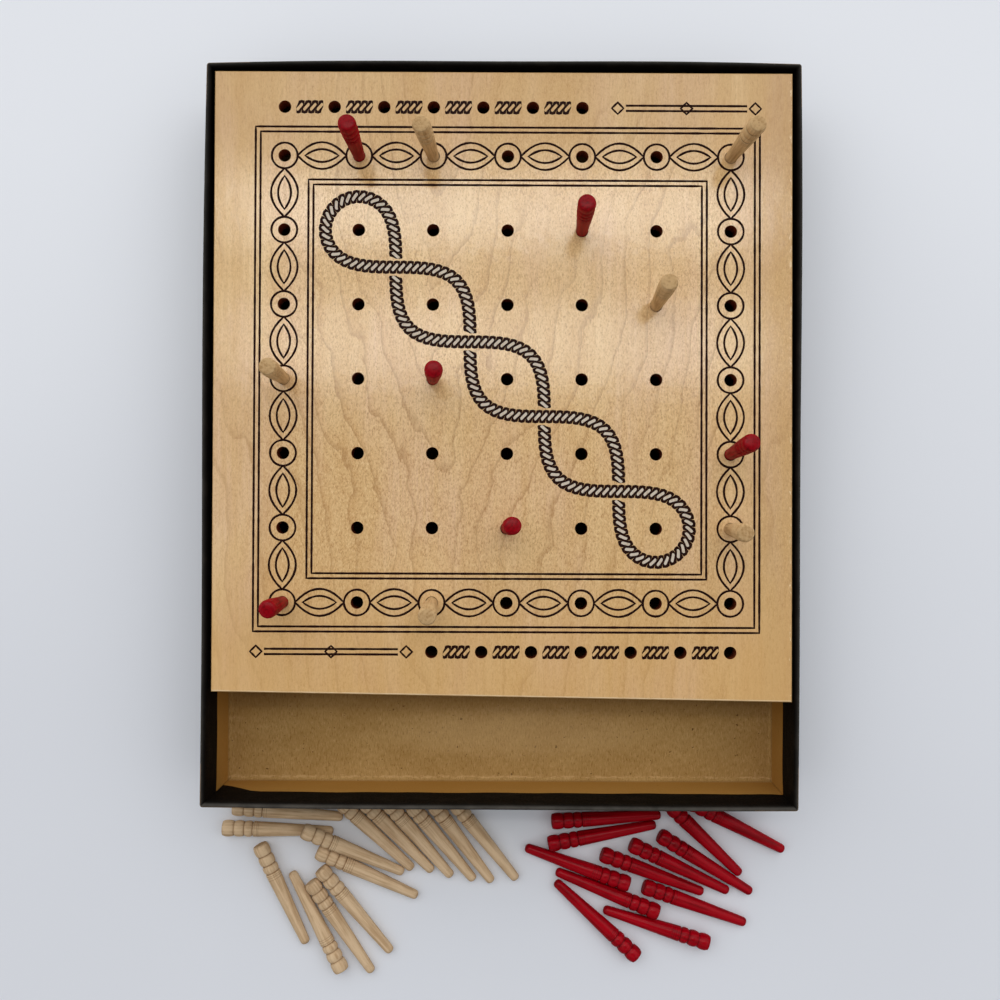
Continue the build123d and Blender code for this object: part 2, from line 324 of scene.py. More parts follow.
@dataclass(frozen=True)
class MapleFinish:
    """Rotary-cut maple veneer over plies, lacquered on its faces."""

    pale: Colour = tone(240, 208, 156)
    warm: Colour = tone(214, 173, 116)
    rosy: Colour = tone(230, 193, 160)
    amber: Colour = tone(208, 158, 88)
    line: Colour = tone(158, 114, 68)
    late: Colour = tone(198, 148, 90)
    fleck: Colour = tone(170, 124, 76)
    bare: Colour = tone(238, 214, 172)
    # Colour of the painted shade along the right edge and at the back.
    painted_edge_shade: Colour = tone(176, 136, 84)
    ply_dark: Colour = tone(150, 112, 70)
    hole: Colour = tone(134, 60, 34)
    cloud: Grain = Grain((0.035, 0.012, 0.03), 3, 0.6)
    flame: Grain = Grain((0.06, 0.02, 0.05), shift=(9, 4, 0))
    band: Grain = Grain((0.16, 0.008, 0.1), 3, 0.6)
    streak: Grain = Grain((1.5, 0.05, 1.5), 4, 0.7)
    short: Grain = Grain((1.9, 0.3, 1.9), 4, 0.75)
    pore: Grain = Grain((3.4, 0.5, 3.4))
    fine: Grain = Grain((2.5, 1.2, 2.5), 2, 0.7)
    sway: Grain = Grain((0.02, 0.011, 0), 3, 0.55)
    jag: Grain = Grain((0.22, 0.06, 0), 4, 0.62)
    jog: Grain = Grain((0.7, 0.16, 0))
    waves: Grain = Grain((0.055, 0.034, 0), 3, shift=(1, 7, 0))
    strong: Grain = Grain((0.03, 0.012, 0), shift=(5, 2, 0))
    patches: Grain = Grain((0.03, 0.03, 0), shift=(3, 3, 0))
    chips: Grain = Grain((0.9, 0.35, 1.0), 4, 0.7)
    scuffs: Grain = Grain((0.15, 0.9, 1.0), 3)
    sawn: Grain = Grain((0.5, 0.5, 3.0), 5, 0.7)
    low_corner: Point = (-97.4, -85.0)
    high_corner: Point = (98.0, 123.2)
    top: float = 33.0
    thickness: float = 6.35
    plies: int = 5
    heart: float = -22.0
    heart_round: float = 14.0
    heart_sway: float = 40.0
    jag_size: float = 0.26
    jog_size: float = 0.14
    line_sharpness: float = 2.8
    line_least: float = 0.13
    line_most: float = 0.4
    wash_share: float = 0.2
    pore_share: float = 0.35
    ply_contrast: float = 0.7
    ring_gap: float = 9.5
    ring_climb: float = 44.0
    figure_at: Point = (-28.0, 2.0)
    figure_reach: Point = (88.0, 24.0)
    front_left: Point = (-98.45, -87.5)
    front_slope: float = -3.0 / 197.5
    right_edge: float = 99.05
    play_middle: float = 19.1

    def figure(self, paint: Paint) -> Flow:
        """How far the growth lines are thrown into waves: most of all left of the middle."""
        x, y = (place - at for place, at in zip(paint.spot(), self.figure_at))
        return (x * x + y * y).maths("SQRT").span(*self.figure_reach)

    def growth_lines(self, paint: Paint) -> tuple[Flow, Flow]:
        """Draws a line for each year, that nest in long points about the heart.

        Args:
            paint: the board's material.

        Returns:
            The thin dark lines, and the late wood's soft wash before each of them.
        """
        across, along, _ = paint.spot()
        off = across - self.heart + (paint.noise(self.sway) - 0.5) * self.heart_sway
        away = (off * off + self.heart_round).maths("SQRT")
        years = away / self.ring_gap - along / self.ring_climb
        years = years + paint.noise(self.jag) * self.jag_size + paint.noise(self.jog) * self.jog_size
        figure = self.figure(paint)
        waves = paint.noise(self.waves) * figure.span(0.0, 1.0, 0.5, 1.9)
        year = (years + waves).maths("FRACT")
        line = year.span(0.7, 0.97) * year.span(1.0, 0.975)
        strong = paint.noise(self.strong).span(0.36, 0.6, 0.2, 1.0).maths("MAXIMUM", figure)
        wash = year.span(0.3, 0.97) * year.span(1.0, 0.97)
        patchy = paint.noise(self.patches).span(0.4, 0.62) * figure.span(0.0, 1.0, 0.3, 1.0)
        return line.maths("POWER", self.line_sharpness) * strong, wash * patchy

    def face(self, paint: Paint) -> Feed:
        """Colours the veneer's face, with painted shade along its right edge and at its back.

        Args:
            paint: the board's material.

        Returns:
            The colour.
        """
        across, along, _ = paint.spot()
        streak, short, fine = (paint.noise(grain) for grain in (self.streak, self.short, self.fine))
        handled_and_highlight = self.handled_and_highlight(paint)
        lines, wash = self.growth_lines(paint)
        return paint.coats(
            self.pale,
            (paint.noise(self.cloud).span(0.3, 0.7, 0.1, 0.8), self.warm),
            (paint.noise(self.flame).span(0.42, 0.7, 0.0, 0.6), self.rosy),
            # Painted shade: the strip along the right edge darkened.
            (across.span(80.0, 97.0, 0.0, 0.4), self.painted_edge_shade),
            (paint.noise(self.band).span(0.35, 0.7, 0.0, 0.5), self.warm),
            (streak.span(0.3, 0.75, 0.0, 0.55), self.warm),
            (short.span(0.5, 0.8, 0.0, 0.55), self.fleck),
            (short.span(0.45, 0.2, 0.0, 0.5), self.pale),
            (paint.noise(self.pore).span(0.6, 0.74) * self.pore_share, self.fleck),
            (fine.span(0.5, 0.7, 0.0, 0.65) * handled_and_highlight, self.fleck),
            (fine.span(0.5, 0.3, 0.0, 0.75) * handled_and_highlight, self.pale),
            (wash * self.wash_share, self.late),
            (lines * handled_and_highlight.span(0.0, 1.0, self.line_least, self.line_most), self.line),
            (along.span(-25.0, -87.0, 0.0, 0.36), self.amber),
            # Painted shade: the back of the face darkened.
            (along.span(84.0, 106.0, 0.0, 0.24), self.painted_edge_shade),
            (self.wear_and_highlight(paint), self.bare),
        )

    def handled_and_highlight(self, paint: Paint) -> Flow:
        """How far the face is roughened by play: most of all inside the border.

        Args:
            paint: the board's material.

        Returns:
            A share of 1.
        """
        across, along, _ = paint.spot()
        middle = abs(across).span(94.0, 66.0, 0.45, 1.0)
        return middle * abs(along - self.play_middle).span(98.0, 60.0, 0.45, 1.0)

    def wear_and_highlight(self, paint: Paint) -> Flow:
        """Wears the face: in chips on the right, in a thin line at the front.

        Args:
            paint: the board's material.

        Returns:
            How far it is worn.
        """
        across, along, _ = paint.spot()
        front = along - self.front_left[1] - (across - self.front_left[0]) * self.front_slope
        right = self.right_edge - across + paint.noise(self.chips).span(0.3, 0.75, 1.6, -1.2)
        line = front.span(0.75, 0.35) * paint.noise(self.scuffs).span(0.35, 0.6, 0.35, 0.9)
        return right.span(0.5, 0.0, 0.0, 0.8).maths("MAXIMUM", line)

    def edges(self, paint: Paint, depth: Flow) -> Feed:
        """The colour of the plies where they are cut, at a depth counted in plies.

        Args:
            paint: the board's material.
            depth: how many plies down.

        Returns:
            The colour.
        """
        dark = depth.maths("PINGPONG", 1.0).span(0.45, 0.55) * self.ply_contrast
        rough = paint.noise(self.sawn).span(0.4, 0.75, 0.0, 0.6)
        return paint.coats(self.warm, (dark, self.ply_dark), (rough, self.ply_dark))

    def inside(self, paint: Paint) -> Feed:
        """Tells a hole's wall from the board's outer edges.

        Args:
            paint: the board's material.

        Returns:
            1 away from the outer edges, and 0 at them.
        """
        share: Feed = 1.0
        for test, corner in (("GREATER_THAN", self.low_corner), ("LESS_THAN", self.high_corner)):
            for place, limit in zip(paint.spot(), corner):
                share = place.maths(test, limit) * share
        return share

    def material(self) -> Material:
        """The board's material, with its grain along the board's length.

        Returns:
            The material.
        """
        paint = Paint("lacquered_maple")
        depth = (self.top - paint.spot()[2]) * (self.plies / self.thickness)
        cut = paint.mix(self.inside(paint), self.edges(paint, depth), self.hole)
        below = depth.maths("PINGPONG", self.plies / 2).span(0.02, 0.06)
        return LacquerFinish().over(paint, paint.mix(below, self.face(paint), cut))


@dataclass(frozen=True)
class InkFinish:
    """Ink printed over the board's lacquer, less glossy than it."""

    name: str
    ink: Colour
    worn: Colour
    rubbing: Grain = Grain((1.5, 0.8, 0), 4)

    def material(self) -> Material:
        """The print's material.

        Returns:
            The material.
        """
        paint = Paint(self.name)
        return paint.finish(
            Base_Color=paint.mix(paint.noise(self.rubbing).span(0.45, 0.8), self.ink, self.worn),
            Roughness=0.5,
            Specular_IOR_Level=0.08,
            Normal=LacquerFinish().relief(paint),
        )


DARK_INK = InkFinish("dark_printed_ink", tone(30, 6, 1), tone(56, 28, 14))
PALE_INK = InkFinish("pale_printed_ink", tone(208, 196, 178), tone(186, 165, 134))


@dataclass(frozen=True)
class ChipboardFinish:
    """Bare grey-brown chipboard made of pulped fibre."""

    body: Colour = tone(187, 151, 93)
    shade: Colour = tone(165, 128, 70)
    # Colour of the painted shade and bounced light on the walls.
    painted_wall_shade: Colour = tone(182, 130, 49)
    # Colour of darker fibres, and of the painted shadow under the board's front edge.
    dark_fibre_and_painted_shadow: Colour = tone(132, 94, 44)
    fleck: Colour = tone(92, 60, 30)
    pale: Colour = tone(224, 188, 134)
    cloud: Grain = Grain((0.05, 0.07, 0.07), 4, 0.6)
    pulp: Grain = Grain((1.1, 0.7, 0.9), 5, 0.75)
    fibre: Grain = Grain((2.4, 0.6, 2.0), 3, 0.65, distortion=0.6)
    speck: Grain = Grain((0.6, 0.6, 0.6))
    ragged: Grain = Grain((0.35, 1.2, 1.0), 4, 0.7)
    pulp_depth: float = 0.08
    fibre_depth: float = 0.05
    speck_share: float = 0.85
    wall_from: float = 2.2
    patch_at: Point = (6.0, -107.0)
    patch_reach: Point = (52.0, 11.0)
    fold: float = -123.7

    def material(self) -> Material:
        """The tray's and the board rest's material.

        Returns:
            The material.
        """
        paint = Paint("bare_chipboard")
        pulp, fibre = paint.noise(self.pulp), paint.noise(self.fibre)
        _, along, up = paint.spot()
        colour = paint.coats(
            self.body,
            (paint.noise(self.cloud).span(0.3, 0.7, 0.1, 0.7), self.shade),
            (pulp.span(0.42, 0.7, 0.0, 0.7), self.shade),
            (fibre.span(0.5, 0.72, 0.0, 0.3), self.pale),
            (fibre.span(0.47, 0.3, 0.0, 0.7), self.dark_fibre_and_painted_shadow),
            (paint.noise(self.speck).span(0.7, 0.74) * self.speck_share, self.fleck),
            # Painted shadow: darker under the board's front edge.
            (along.span(-105.0, -91.0, 0.0, 0.55), self.dark_fibre_and_painted_shadow),
            # Painted shade and bounced light: the walls darker and more orange than the floor.
            (up.span(self.wall_from, self.wall_from + 2.0, 0.0, 0.75), self.painted_wall_shade),
            (self.rubbed_and_highlight(paint, pulp), self.pale),
        )
        normal = paint.bump(fibre, self.fibre_depth, paint.bump(pulp, self.pulp_depth))
        return paint.finish(Base_Color=colour, Roughness=0.9, Normal=normal, Specular_IOR_Level=0.25)

    def rubbed_and_highlight(self, paint: Paint, pulp: Flow) -> Flow:
        """Rubs the floor pale in a patch in its middle, and paints a pale line along its fold at the front:
        torn fibres, and a painted highlight on the fold's ridge.

        Args:
            paint: the chipboard's material.
            pulp: its pattern, which the patch's edge follows.

        Returns:
            How far it is made paler.
        """
        across, along, up = paint.spot()
        x = (across - self.patch_at[0]) / self.patch_reach[0]
        y = (along - self.patch_at[1]) / self.patch_reach[1]
        patch = (x * x + y * y + pulp.span(0.3, 0.7, 0.5, -0.5)).span(1.0, 0.1, 0.0, 0.24)
        # Pale line along the fold: torn fibres, and a painted highlight on its ridge.
        off = abs(along - self.fold) + paint.noise(self.ragged).span(0.3, 0.7, 0.9, -0.3)
        return patch.maths("MAXIMUM", off.span(0.8, 0.1, 0.0, 0.4) * up.span(4.0, 2.4))


@dataclass(frozen=True)
class BlackPaperFinish:
    """Black coated paper, greyer in random rubs, with a painted highlight along its rim."""

    body: Colour = tone(10, 8, 7)
    # Colour of random rubs, and of the painted highlight at the top of the rim.
    rubbed_and_highlight: Colour = tone(40, 35, 29)
    # Colour of the painted highlight along the rim.
    worn: Colour = tone(94, 90, 83)
    mottle: Grain = Grain((0.12, 0.12, 0.2), 5, 0.65)
    fibre: Grain = Grain((1.6, 1.6, 2.2), 4, 0.65)
    mottle_depth: float = 0.2
    fibre_depth: float = 0.03
    rim: float = 33.4
    rim_highlight_share: float = 0.1

    def material(self) -> Material:
        """The wrap's and the bottom sheet's material, with the painted rim highlight that the wrap's own
        attribute carries.

        Returns:
            The material.
        """
        paint = Paint("black_paper")
        mottle, fibre = paint.noise(self.mottle), paint.noise(self.fibre)
        # Painted highlight: paler towards the top of the rim.
        handled_and_highlight = paint.spot()[2].span(self.rim - 1.2, self.rim + 0.5) * self.rim_highlight_share
        # Painted highlight along the rim, from the wrap's attribute.
        wear_and_highlight = paint.read("wear_and_highlight") * mottle.span(0.3, 0.6, 0.7, 1.2)
        rub_and_highlight = mottle.span(0.45, 0.75, 0.0, 0.35) + handled_and_highlight
        return paint.finish(
            Base_Color=paint.coats(self.body, (rub_and_highlight, self.rubbed_and_highlight), (wear_and_highlight, self.worn)),
            Roughness=fibre.span(0.3, 0.7, 0.6, 0.8),
            Normal=paint.bump(fibre, self.fibre_depth, paint.bump(mottle, self.mottle_depth)),
            Specular_IOR_Level=0.06,
        )


@dataclass(frozen=True)
class TapeFinish:
    """Gummed brown paper tape."""

    body: Colour = tone(150, 112, 68)
    pale: Colour = tone(176, 140, 94)
    pulp: Grain = Grain((0.8, 0.8, 1.6), 5, 0.7)
    pulp_depth: float = 0.03

    def material(self) -> Material:
        """The material of the tape at the tray's corners.

        Returns:
            The material.
        """
        paint = Paint("gummed_tape")
        pulp = paint.noise(self.pulp)
        colour = paint.mix(pulp.span(0.35, 0.7), self.body, self.pale)
        return paint.finish(Base_Color=colour, Roughness=0.75, Normal=paint.bump(pulp, self.pulp_depth))


@dataclass(frozen=True)
class TurnedWoodFinish:
    """Turned birch, bare or stained, that keeps its grain along each peg."""

    name: str
    pale: Colour
    dark: Colour
    groove: Colour
    roughness: float = 0.7
    coat: float = 0.0
    grain_share: float = 0.65
    grain_depth: float = 0.03
    ring_turns: float = 5.5
    streak: Grain = Grain((1.1, 1.1, 0.05), 4, 0.6)
    pore: Grain = Grain((5.0, 5.0, 0.5))
    patch: Grain = Grain((0.25, 0.25, 0.1))

    def material(self) -> Material:
        """The pegs' material, which reads each peg's own grain and groove attributes.

        Returns:
            The material.
        """
        paint = Paint(self.name, "grain")
        streak, pore, patch = (paint.noise(grain) for grain in (self.streak, self.pore, self.patch))
        x, y, _ = paint.spot()
        ring = ((x * x + y * y).maths("SQRT") * self.ring_turns).maths("SINE")
        share = streak.span(0.3, 0.75) + ring.span(-1.0, 1.0, -0.1, 0.18)
        share = (share + patch.span(0.3, 0.7, -0.2, 0.3)) * self.grain_share
        colour = paint.coats(
            self.pale,
            (share.span(0.0, 1.0), self.dark),
            (pore.span(0.6, 0.75, 0.0, 0.35 * self.grain_share), self.groove),
            # The groove attribute darkens grooves, bead joints, the head's end and the tip: dark turned
            # lines and end grain, and painted shade in the grooves.
            (paint.read("groove"), self.groove),
        )
        return paint.finish(
            Base_Color=colour,
            Roughness=self.roughness,
            Specular_IOR_Level=0.0,
            Normal=paint.bump(pore, self.grain_depth, paint.bump(streak, self.grain_depth)),
            Coat_Weight=self.coat,
            Coat_Roughness=0.24,
        )


class PegColour(Enum):
    """How pegs look: stained red, or bare, with the bare pegs in play painted warmer for the light that the
    board throws on them.
    """

    RED = "red_stained_wood"
    SPARE = "natural_wood"
    IN_PLAY_PAINTED_WARM = "natural_wood_in_play"

    @classmethod
    def of(cls, node: str) -> "PegColour":
        """The look of one node's peg."""
        bare = cls.IN_PLAY_PAINTED_WARM if "_peg_" in node else cls.SPARE
        return cls.RED if node.startswith("red") else bare

    def finish(self) -> TurnedWoodFinish:
        """The finish of pegs that look like this.

        Returns:
            The finish.
        """
        groove = tone(122, 90, 56)
        if self is PegColour.SPARE:
            return TurnedWoodFinish(self.value, tone(216, 188, 151), tone(180, 148, 111), groove)
        # Painted light: the same wood, warmer and more yellow, for the board's warm light on the pegs that
        # stand in it.
        if self is PegColour.IN_PLAY_PAINTED_WARM:
            return TurnedWoodFinish(self.value, tone(226, 191, 140), tone(184, 146, 98), groove)
        stain = tone(165, 4, 21), tone(120, 1, 9), tone(74, 1, 6)
        return TurnedWoodFinish(self.value, *stain, roughness=0.42, coat=0.22, grain_share=0.7)


class Recipe(Tree):
    """A geometry node tree with named inputs, that a mesh is run through."""

    def __init__(self, name: str, inputs: dict[str, str]) -> None:
        """Starts the tree.

        Args:
            name: the tree's name.
            inputs: its inputs by name, with the last part of their socket types.
        """
        group = bpy.data.node_groups.new(name, "GeometryNodeTree")
        super().__init__(group)
        for way in ("INPUT", "OUTPUT"):
            group.interface.new_socket("Geometry", in_out=way, socket_type="NodeSocketGeometry")
        self.keys = {}
        for title, kind in {**inputs, "Material": "Material"}.items():
            socket = group.interface.new_socket(title, in_out="INPUT", socket_type="NodeSocket" + kind)
            self.keys[title] = socket.identifier
        self.given = self.add("NodeGroupInput").outputs

    def take(self, title: str) -> Flow:
        """One of the tree's inputs."""
        return Flow(self, self.given[title])

    def end(self, geometry: Flow) -> "Recipe":
        """Ends the tree in real geometry, in the given material.

        Args:
            geometry: what the tree has made.

        Returns:
            The tree.
        """
        real = self.flow("GeometryNodeRealizeInstances", Geometry=geometry)
        dressed = self.flow("GeometryNodeSetMaterial", Geometry=real, Material=self.take("Material"))
        self.add("NodeGroupOutput", _0=dressed)
        return self

    def run(self, mesh: Mesh, **values: Feed) -> Mesh:
        """Runs a mesh through the tree.

        Args:
            mesh: what goes in. It is used up.
            values: the inputs, by name with underscores.

        Returns:
            The plain mesh that comes out.
        """
        host = bpy.data.objects.new("recipe_host", mesh)
        bpy.context.scene.collection.objects.link(host)
        modifier = host.modifiers.new(self.tree.name, "NODES")
        modifier.node_group = self.tree
        for title, value in values.items():
            modifier[self.keys[title.replace("_", " ")]] = value
        graph = bpy.context.evaluated_depsgraph_get()
        made = bpy.data.meshes.new_from_object(
            host.evaluated_get(graph), preserve_all_data_layers=True, depsgraph=graph
        )
        host.modifiers.remove(modifier)
        bpy.data.objects.remove(host)
        bpy.data.meshes.remove(mesh)
        return made


def as_mesh(shape: bmesh.types.BMesh, name: str) -> Mesh:
    """A plain mesh of a shape, which is used up.

    Args:
        shape: the shape.
        name: the mesh's name.

    Returns:
        The mesh.
    """
    mesh = bpy.data.meshes.new(name)
    shape.to_mesh(mesh)
    shape.free()
    return mesh


def line_mesh(points: list[Triple], closed: bool = False) -> Mesh:
    """A mesh of one line through points in millimetres.

    Args:
        points: the points.
        closed: whether the last of them is joined to the first.

    Returns:
        The mesh.
    """
    mesh = bpy.data.meshes.new("line")
    count = len(points)
    edges = [(i, (i + 1) % count) for i in range(count if closed else count - 1)]
    mesh.from_pydata([tuple(v * MM for v in p) for p in points], edges, [])
    return mesh


def skin(sections: list[list[Vector]], closed: bool) -> Mesh:
    """Closes a skin over sections of equally many points.

    Args:
        sections: loops of points in metres.
        closed: whether the last section joins the first, or both ends are capped.

    Returns:
        The mesh, with its faces outwards.
    """
    shape = bmesh.new()
    rings = [[shape.verts.new(p) for p in section] for section in sections]
    count = len(rings[0])
    for first, second in zip(rings, rings[1:] + rings[:1] if closed else rings[1:]):
        for i in range(count):
            j = (i + 1) % count
            shape.faces.new((first[i], first[j], second[j], second[i]))
    if not closed:
        shape.faces.new(rings[0])
        shape.faces.new(rings[-1])
    bmesh.ops.recalc_face_normals(shape, faces=shape.faces)
    return as_mesh(shape, "skin")


def loft(sections: list[list[Vector]], closed: bool) -> Mesh:
    """A skin over sections that is smooth, apart from its sharp edges.

    Args:
        sections: loops of points in metres.
        closed: whether it is closed as a ring, or with caps.

    Returns:
        The mesh.
    """
    mesh = skin(sections, closed)
    mesh.polygons.foreach_set("use_smooth", [True] * len(mesh.polygons))
    mesh.set_sharp_from_angle(angle=math.radians(40))
    return mesh


def join(meshes: list[Mesh]) -> Mesh:
    """One mesh of several, which are used up, with the material of the first.

    Args:
        meshes: the meshes.

    Returns:
        The one mesh.
    """
    shape = bmesh.new()
    for mesh in meshes:
        shape.from_mesh(mesh)
    whole = as_mesh(shape, "whole")
    for material in meshes[0].materials:
        whole.materials.append(material)
    for mesh in meshes:
        bpy.data.meshes.remove(mesh)
    return whole


def turned_in(mesh: Mesh) -> bool:
    """Whether a closed mesh's faces point inwards.

    Args:
        mesh: the mesh.

    Returns:
        True if they do.
    """
    shape = bmesh.new()
    shape.from_mesh(mesh)
    volume = shape.calc_volume(signed=True)
    shape.free()
    return volume < 0


def put(name: str, data: ID) -> Object:
    """Puts new data into the scene.

    Args:
        name: the object's name.
        data: its mesh, light or camera.

    Returns:
        The object.
    """
    made = bpy.data.objects.new(name, data)
    bpy.context.scene.collection.objects.link(made)
    return made


def add_piece(
    name: str, mesh: Mesh, body: str, replaced: tuple[str, ...] = ()
) -> None:
    """Puts a finished mesh into the scene as a piece of the game.

    Args:
        name: the piece's name.
        mesh: its mesh, in its place.
        body: the body that it moves with.
        replaced: the nodes that it stands for.
    """
    mesh.name = name
    piece = put(name, mesh)
    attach(piece, body)
    if replaced:
        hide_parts(*replaced)
    LOG.info("%s: %d faces, on body %s", name, len(mesh.polygons), body)


def dress(node: str, material: Material) -> None:
    """Gives a node of the frame a better material.

    Args:
        node: the node, whose shape stays.
        material: its material.
    """
    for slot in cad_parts[node].material_slots:
        slot.material = material
    LOG.info("%s keeps its shape, in %s", node, material.name)


@dataclass
class PegMaker:
    """Turns a peg for each one of the frame, all from one pattern with a turner's differences."""

    length: float = 40.5
    dome_rise: float = 0.45
    head_length: float = 4.2
    head_diameter: float = 5.9
    second_length: float = 3.2
    second_diameter: float = 5.8
    third_length: float = 2.6
    third_diameter: float = 5.7
    groove_width: float = 0.5
    groove_depth: float = 0.36
    groove_cut: float = 0.16
    neck_diameter: float = 5.5
    neck_fillet: float = 0.35
    tip_diameter: float = 3.4
    tip_fullness: float = 2.6
    bead_fullness: float = 2.4
    tip_shares: tuple[float, ...] = (0.25, 0.45, 0.62, 0.76, 0.87, 0.95, 0.99)
    bead_steps: int = 10
    bead_shade: float = 0.22
    taper_steps: int = 14
    facets: int = 36
    ovality: float = 0.012

    def __post_init__(self) -> None:
        """Makes the lathe and the finishes."""
        self.lathe = self.make_lathe()
        self.materials = {look: look.finish().material() for look in PegColour}

    def make_lathe(self) -> Recipe:
        """The tree that turns a line of (radius, groove shade, height) points into a solid.

        Returns:
            The tree.
        """
        tree = Recipe("turned_peg", {"Facets": "Int", "Ovality": "Float", "Grain Shift": "Vector"})
        outline = tree.take("Geometry")
        size = {"component": "MESH"}
        rings = tree.flow("GeometryNodeAttributeDomainSize", size, "Point Count", Geometry=outline)
        counts = {"Vertices_X": rings, "Vertices_Y": tree.take("Facets") + 1.0}
        sheet = tree.flow("GeometryNodeMeshGrid", Size_X=1.0, Size_Y=1.0, **counts)
        place = tree.flow("GeometryNodeInputPosition")
        row, column, _ = tree.split(place)
        row = ((row + 0.5) * (rings - 1.0)).maths("ROUND")
        angle = (column + 0.5) * math.tau
        vectors = {"data_type": "FLOAT_VECTOR", "domain": "POINT"}
        floats = {"data_type": "FLOAT", "domain": "POINT"}
        taken = tree.flow("GeometryNodeSampleIndex", vectors, Geometry=outline, Value=place, Index=row)
        radius, shade, height = tree.split(taken)
        radius = radius * ((angle * 2.0).maths("COSINE") * tree.take("Ovality") + 1.0)
        turned = tree.vector(radius * angle.maths("COSINE"), radius * angle.maths("SINE"), height)
        note = "GeometryNodeStoreNamedAttribute"
        noted = tree.flow(note, floats, Geometry=sheet, Name="groove", Value=shade / MM)
        round_shape = tree.flow("GeometryNodeSetPosition", Geometry=noted, Position=turned)
        closed = tree.flow("GeometryNodeMergeByDistance", Geometry=round_shape, Distance=1e-6)
        operation = {"operation": "MULTIPLY_ADD"}
        shift = tree.take("Grain Shift")
        grain = tree.flow("ShaderNodeVectorMath", operation, _0=place, _1=(1 / MM,) * 3, _2=shift)
        grained = tree.flow(note, vectors, Geometry=closed, Name="grain", Value=grain)
        return tree.end(tree.flow("GeometryNodeSetShadeSmooth", Geometry=grained))

    def dome(self, root: float) -> list[Triple]:
        """The outline over the head's end, up to the root of its first bead.

        Args:
            root: the radius there.

        Returns:
            Its points.
        """
        centre = [(0.0, 0.8, 0.0), (0.22, 0.45, 0.0), (0.34, 0.35, -0.01)]
        rise = [(root * s, 0.35, -self.dome_rise * 0.6 * s**3) for s in (0.3, 0.5, 0.7, 0.85)]
        return [*centre, *rise, (root * 0.96, 0.15, -self.dome_rise * 0.55)]

    def bead(self, draw: random.Random, start: float, long: float, diameter: float) -> list[Triple]:
        """Turns a bead.

        Args:
            draw: the random draws of this peg.
            start: how far below the head's end it starts.
            long: its length.
            diameter: its diameter at its fullest.

        Returns:
            Its outline.
        """
        root = diameter / 2 - self.groove_depth * draw.uniform(0.8, 1.2)
        points = []
        for i in range(self.bead_steps + 1):
            share = i / self.bead_steps
            bulge = 1 - abs(2 * share - 1) ** self.bead_fullness
            shade = self.bead_shade if share in (0, 1) else 0.0
            points.append((root + (diameter / 2 - root) * bulge, shade, -start - long * share))
        return points

    def groove(self, draw: random.Random, start: float, radius: float) -> list[Triple]:
        """Cuts a groove.

        Args:
            draw: the random draws of this peg.
            start: how far below the head's end it starts.
            radius: the peg's radius beside it.

        Returns:
            Its outline.
        """
        cut = self.groove_cut * draw.uniform(0.5, 1.3)
        steps = ((0.3, 0.7, 0.5), (0.5, 1.0, 1.0), (0.7, 0.7, 0.5))
        return [(radius - cut * depth, dark, -start - self.groove_width * at) for at, depth, dark in steps]

    def taper(self, draw: random.Random, neck_at: float) -> list[Triple]:
        """Turns the long taper, with a few fine rings under the neck, and the rounded tip.

        Args:
            draw: the random draws of this peg.
            neck_at: how far below the head's end it starts.

        Returns:
            Its outline.
        """
        end = self.tip_diameter / 2
        tip_at = self.length - end
        neck = self.neck_diameter / 2
        slope = (neck - end) / (tip_at - neck_at)
        points = [(neck - 0.05, 0.0, -neck_at)]
        at = neck_at + self.neck_fillet
        for _ in range(draw.choice((2, 3, 4))):
            cut = draw.uniform(0.03, 0.09)
            for step, depth, dark in ((0.0, 0.0, 0.0), (0.12, 1.0, 0.75), (0.24, 0.0, 0.0)):
                radius = neck - slope * (at + step - neck_at) - cut * depth
                points.append((radius, dark, -at - step))
            at += draw.uniform(0.55, 0.95)
        for i in range(self.taper_steps + 1):
            down = at + (tip_at - at) * i / self.taper_steps
            points.append((neck - slope * (down - neck_at) + draw.uniform(-0.02, 0.02), 0.0, -down))
        full = self.tip_fullness
        for share in self.tip_shares:
            radius = end * (1 - share**full) ** (1 / full)
            points.append((radius, 0.25 * share, -tip_at - end * share))
        return [*points, (0.0, 0.3, -self.length)]

    def outline(self, draw: random.Random) -> list[Triple]:
        """Turns a peg's outline.

        Args:
            draw: the random draws of this peg.

        Returns:
            Points of (radius, groove shade, height), from the head's end down to the tip.
        """
        root = self.head_diameter / 2 - self.groove_depth
        points = self.dome(root)
        at = self.dome_rise
        beads = (
            (self.head_length - self.dome_rise, self.head_diameter, root),
            (self.second_length, self.second_diameter, root - 0.1),
            (self.third_length, self.third_diameter, self.third_diameter / 2 - self.groove_depth),
        )
        for long, diameter, floor in beads:
            points += self.bead(draw, at, long, diameter)
            points += self.groove(draw, at + long, floor)
            at += long + self.groove_width
        return points + self.taper(draw, at)

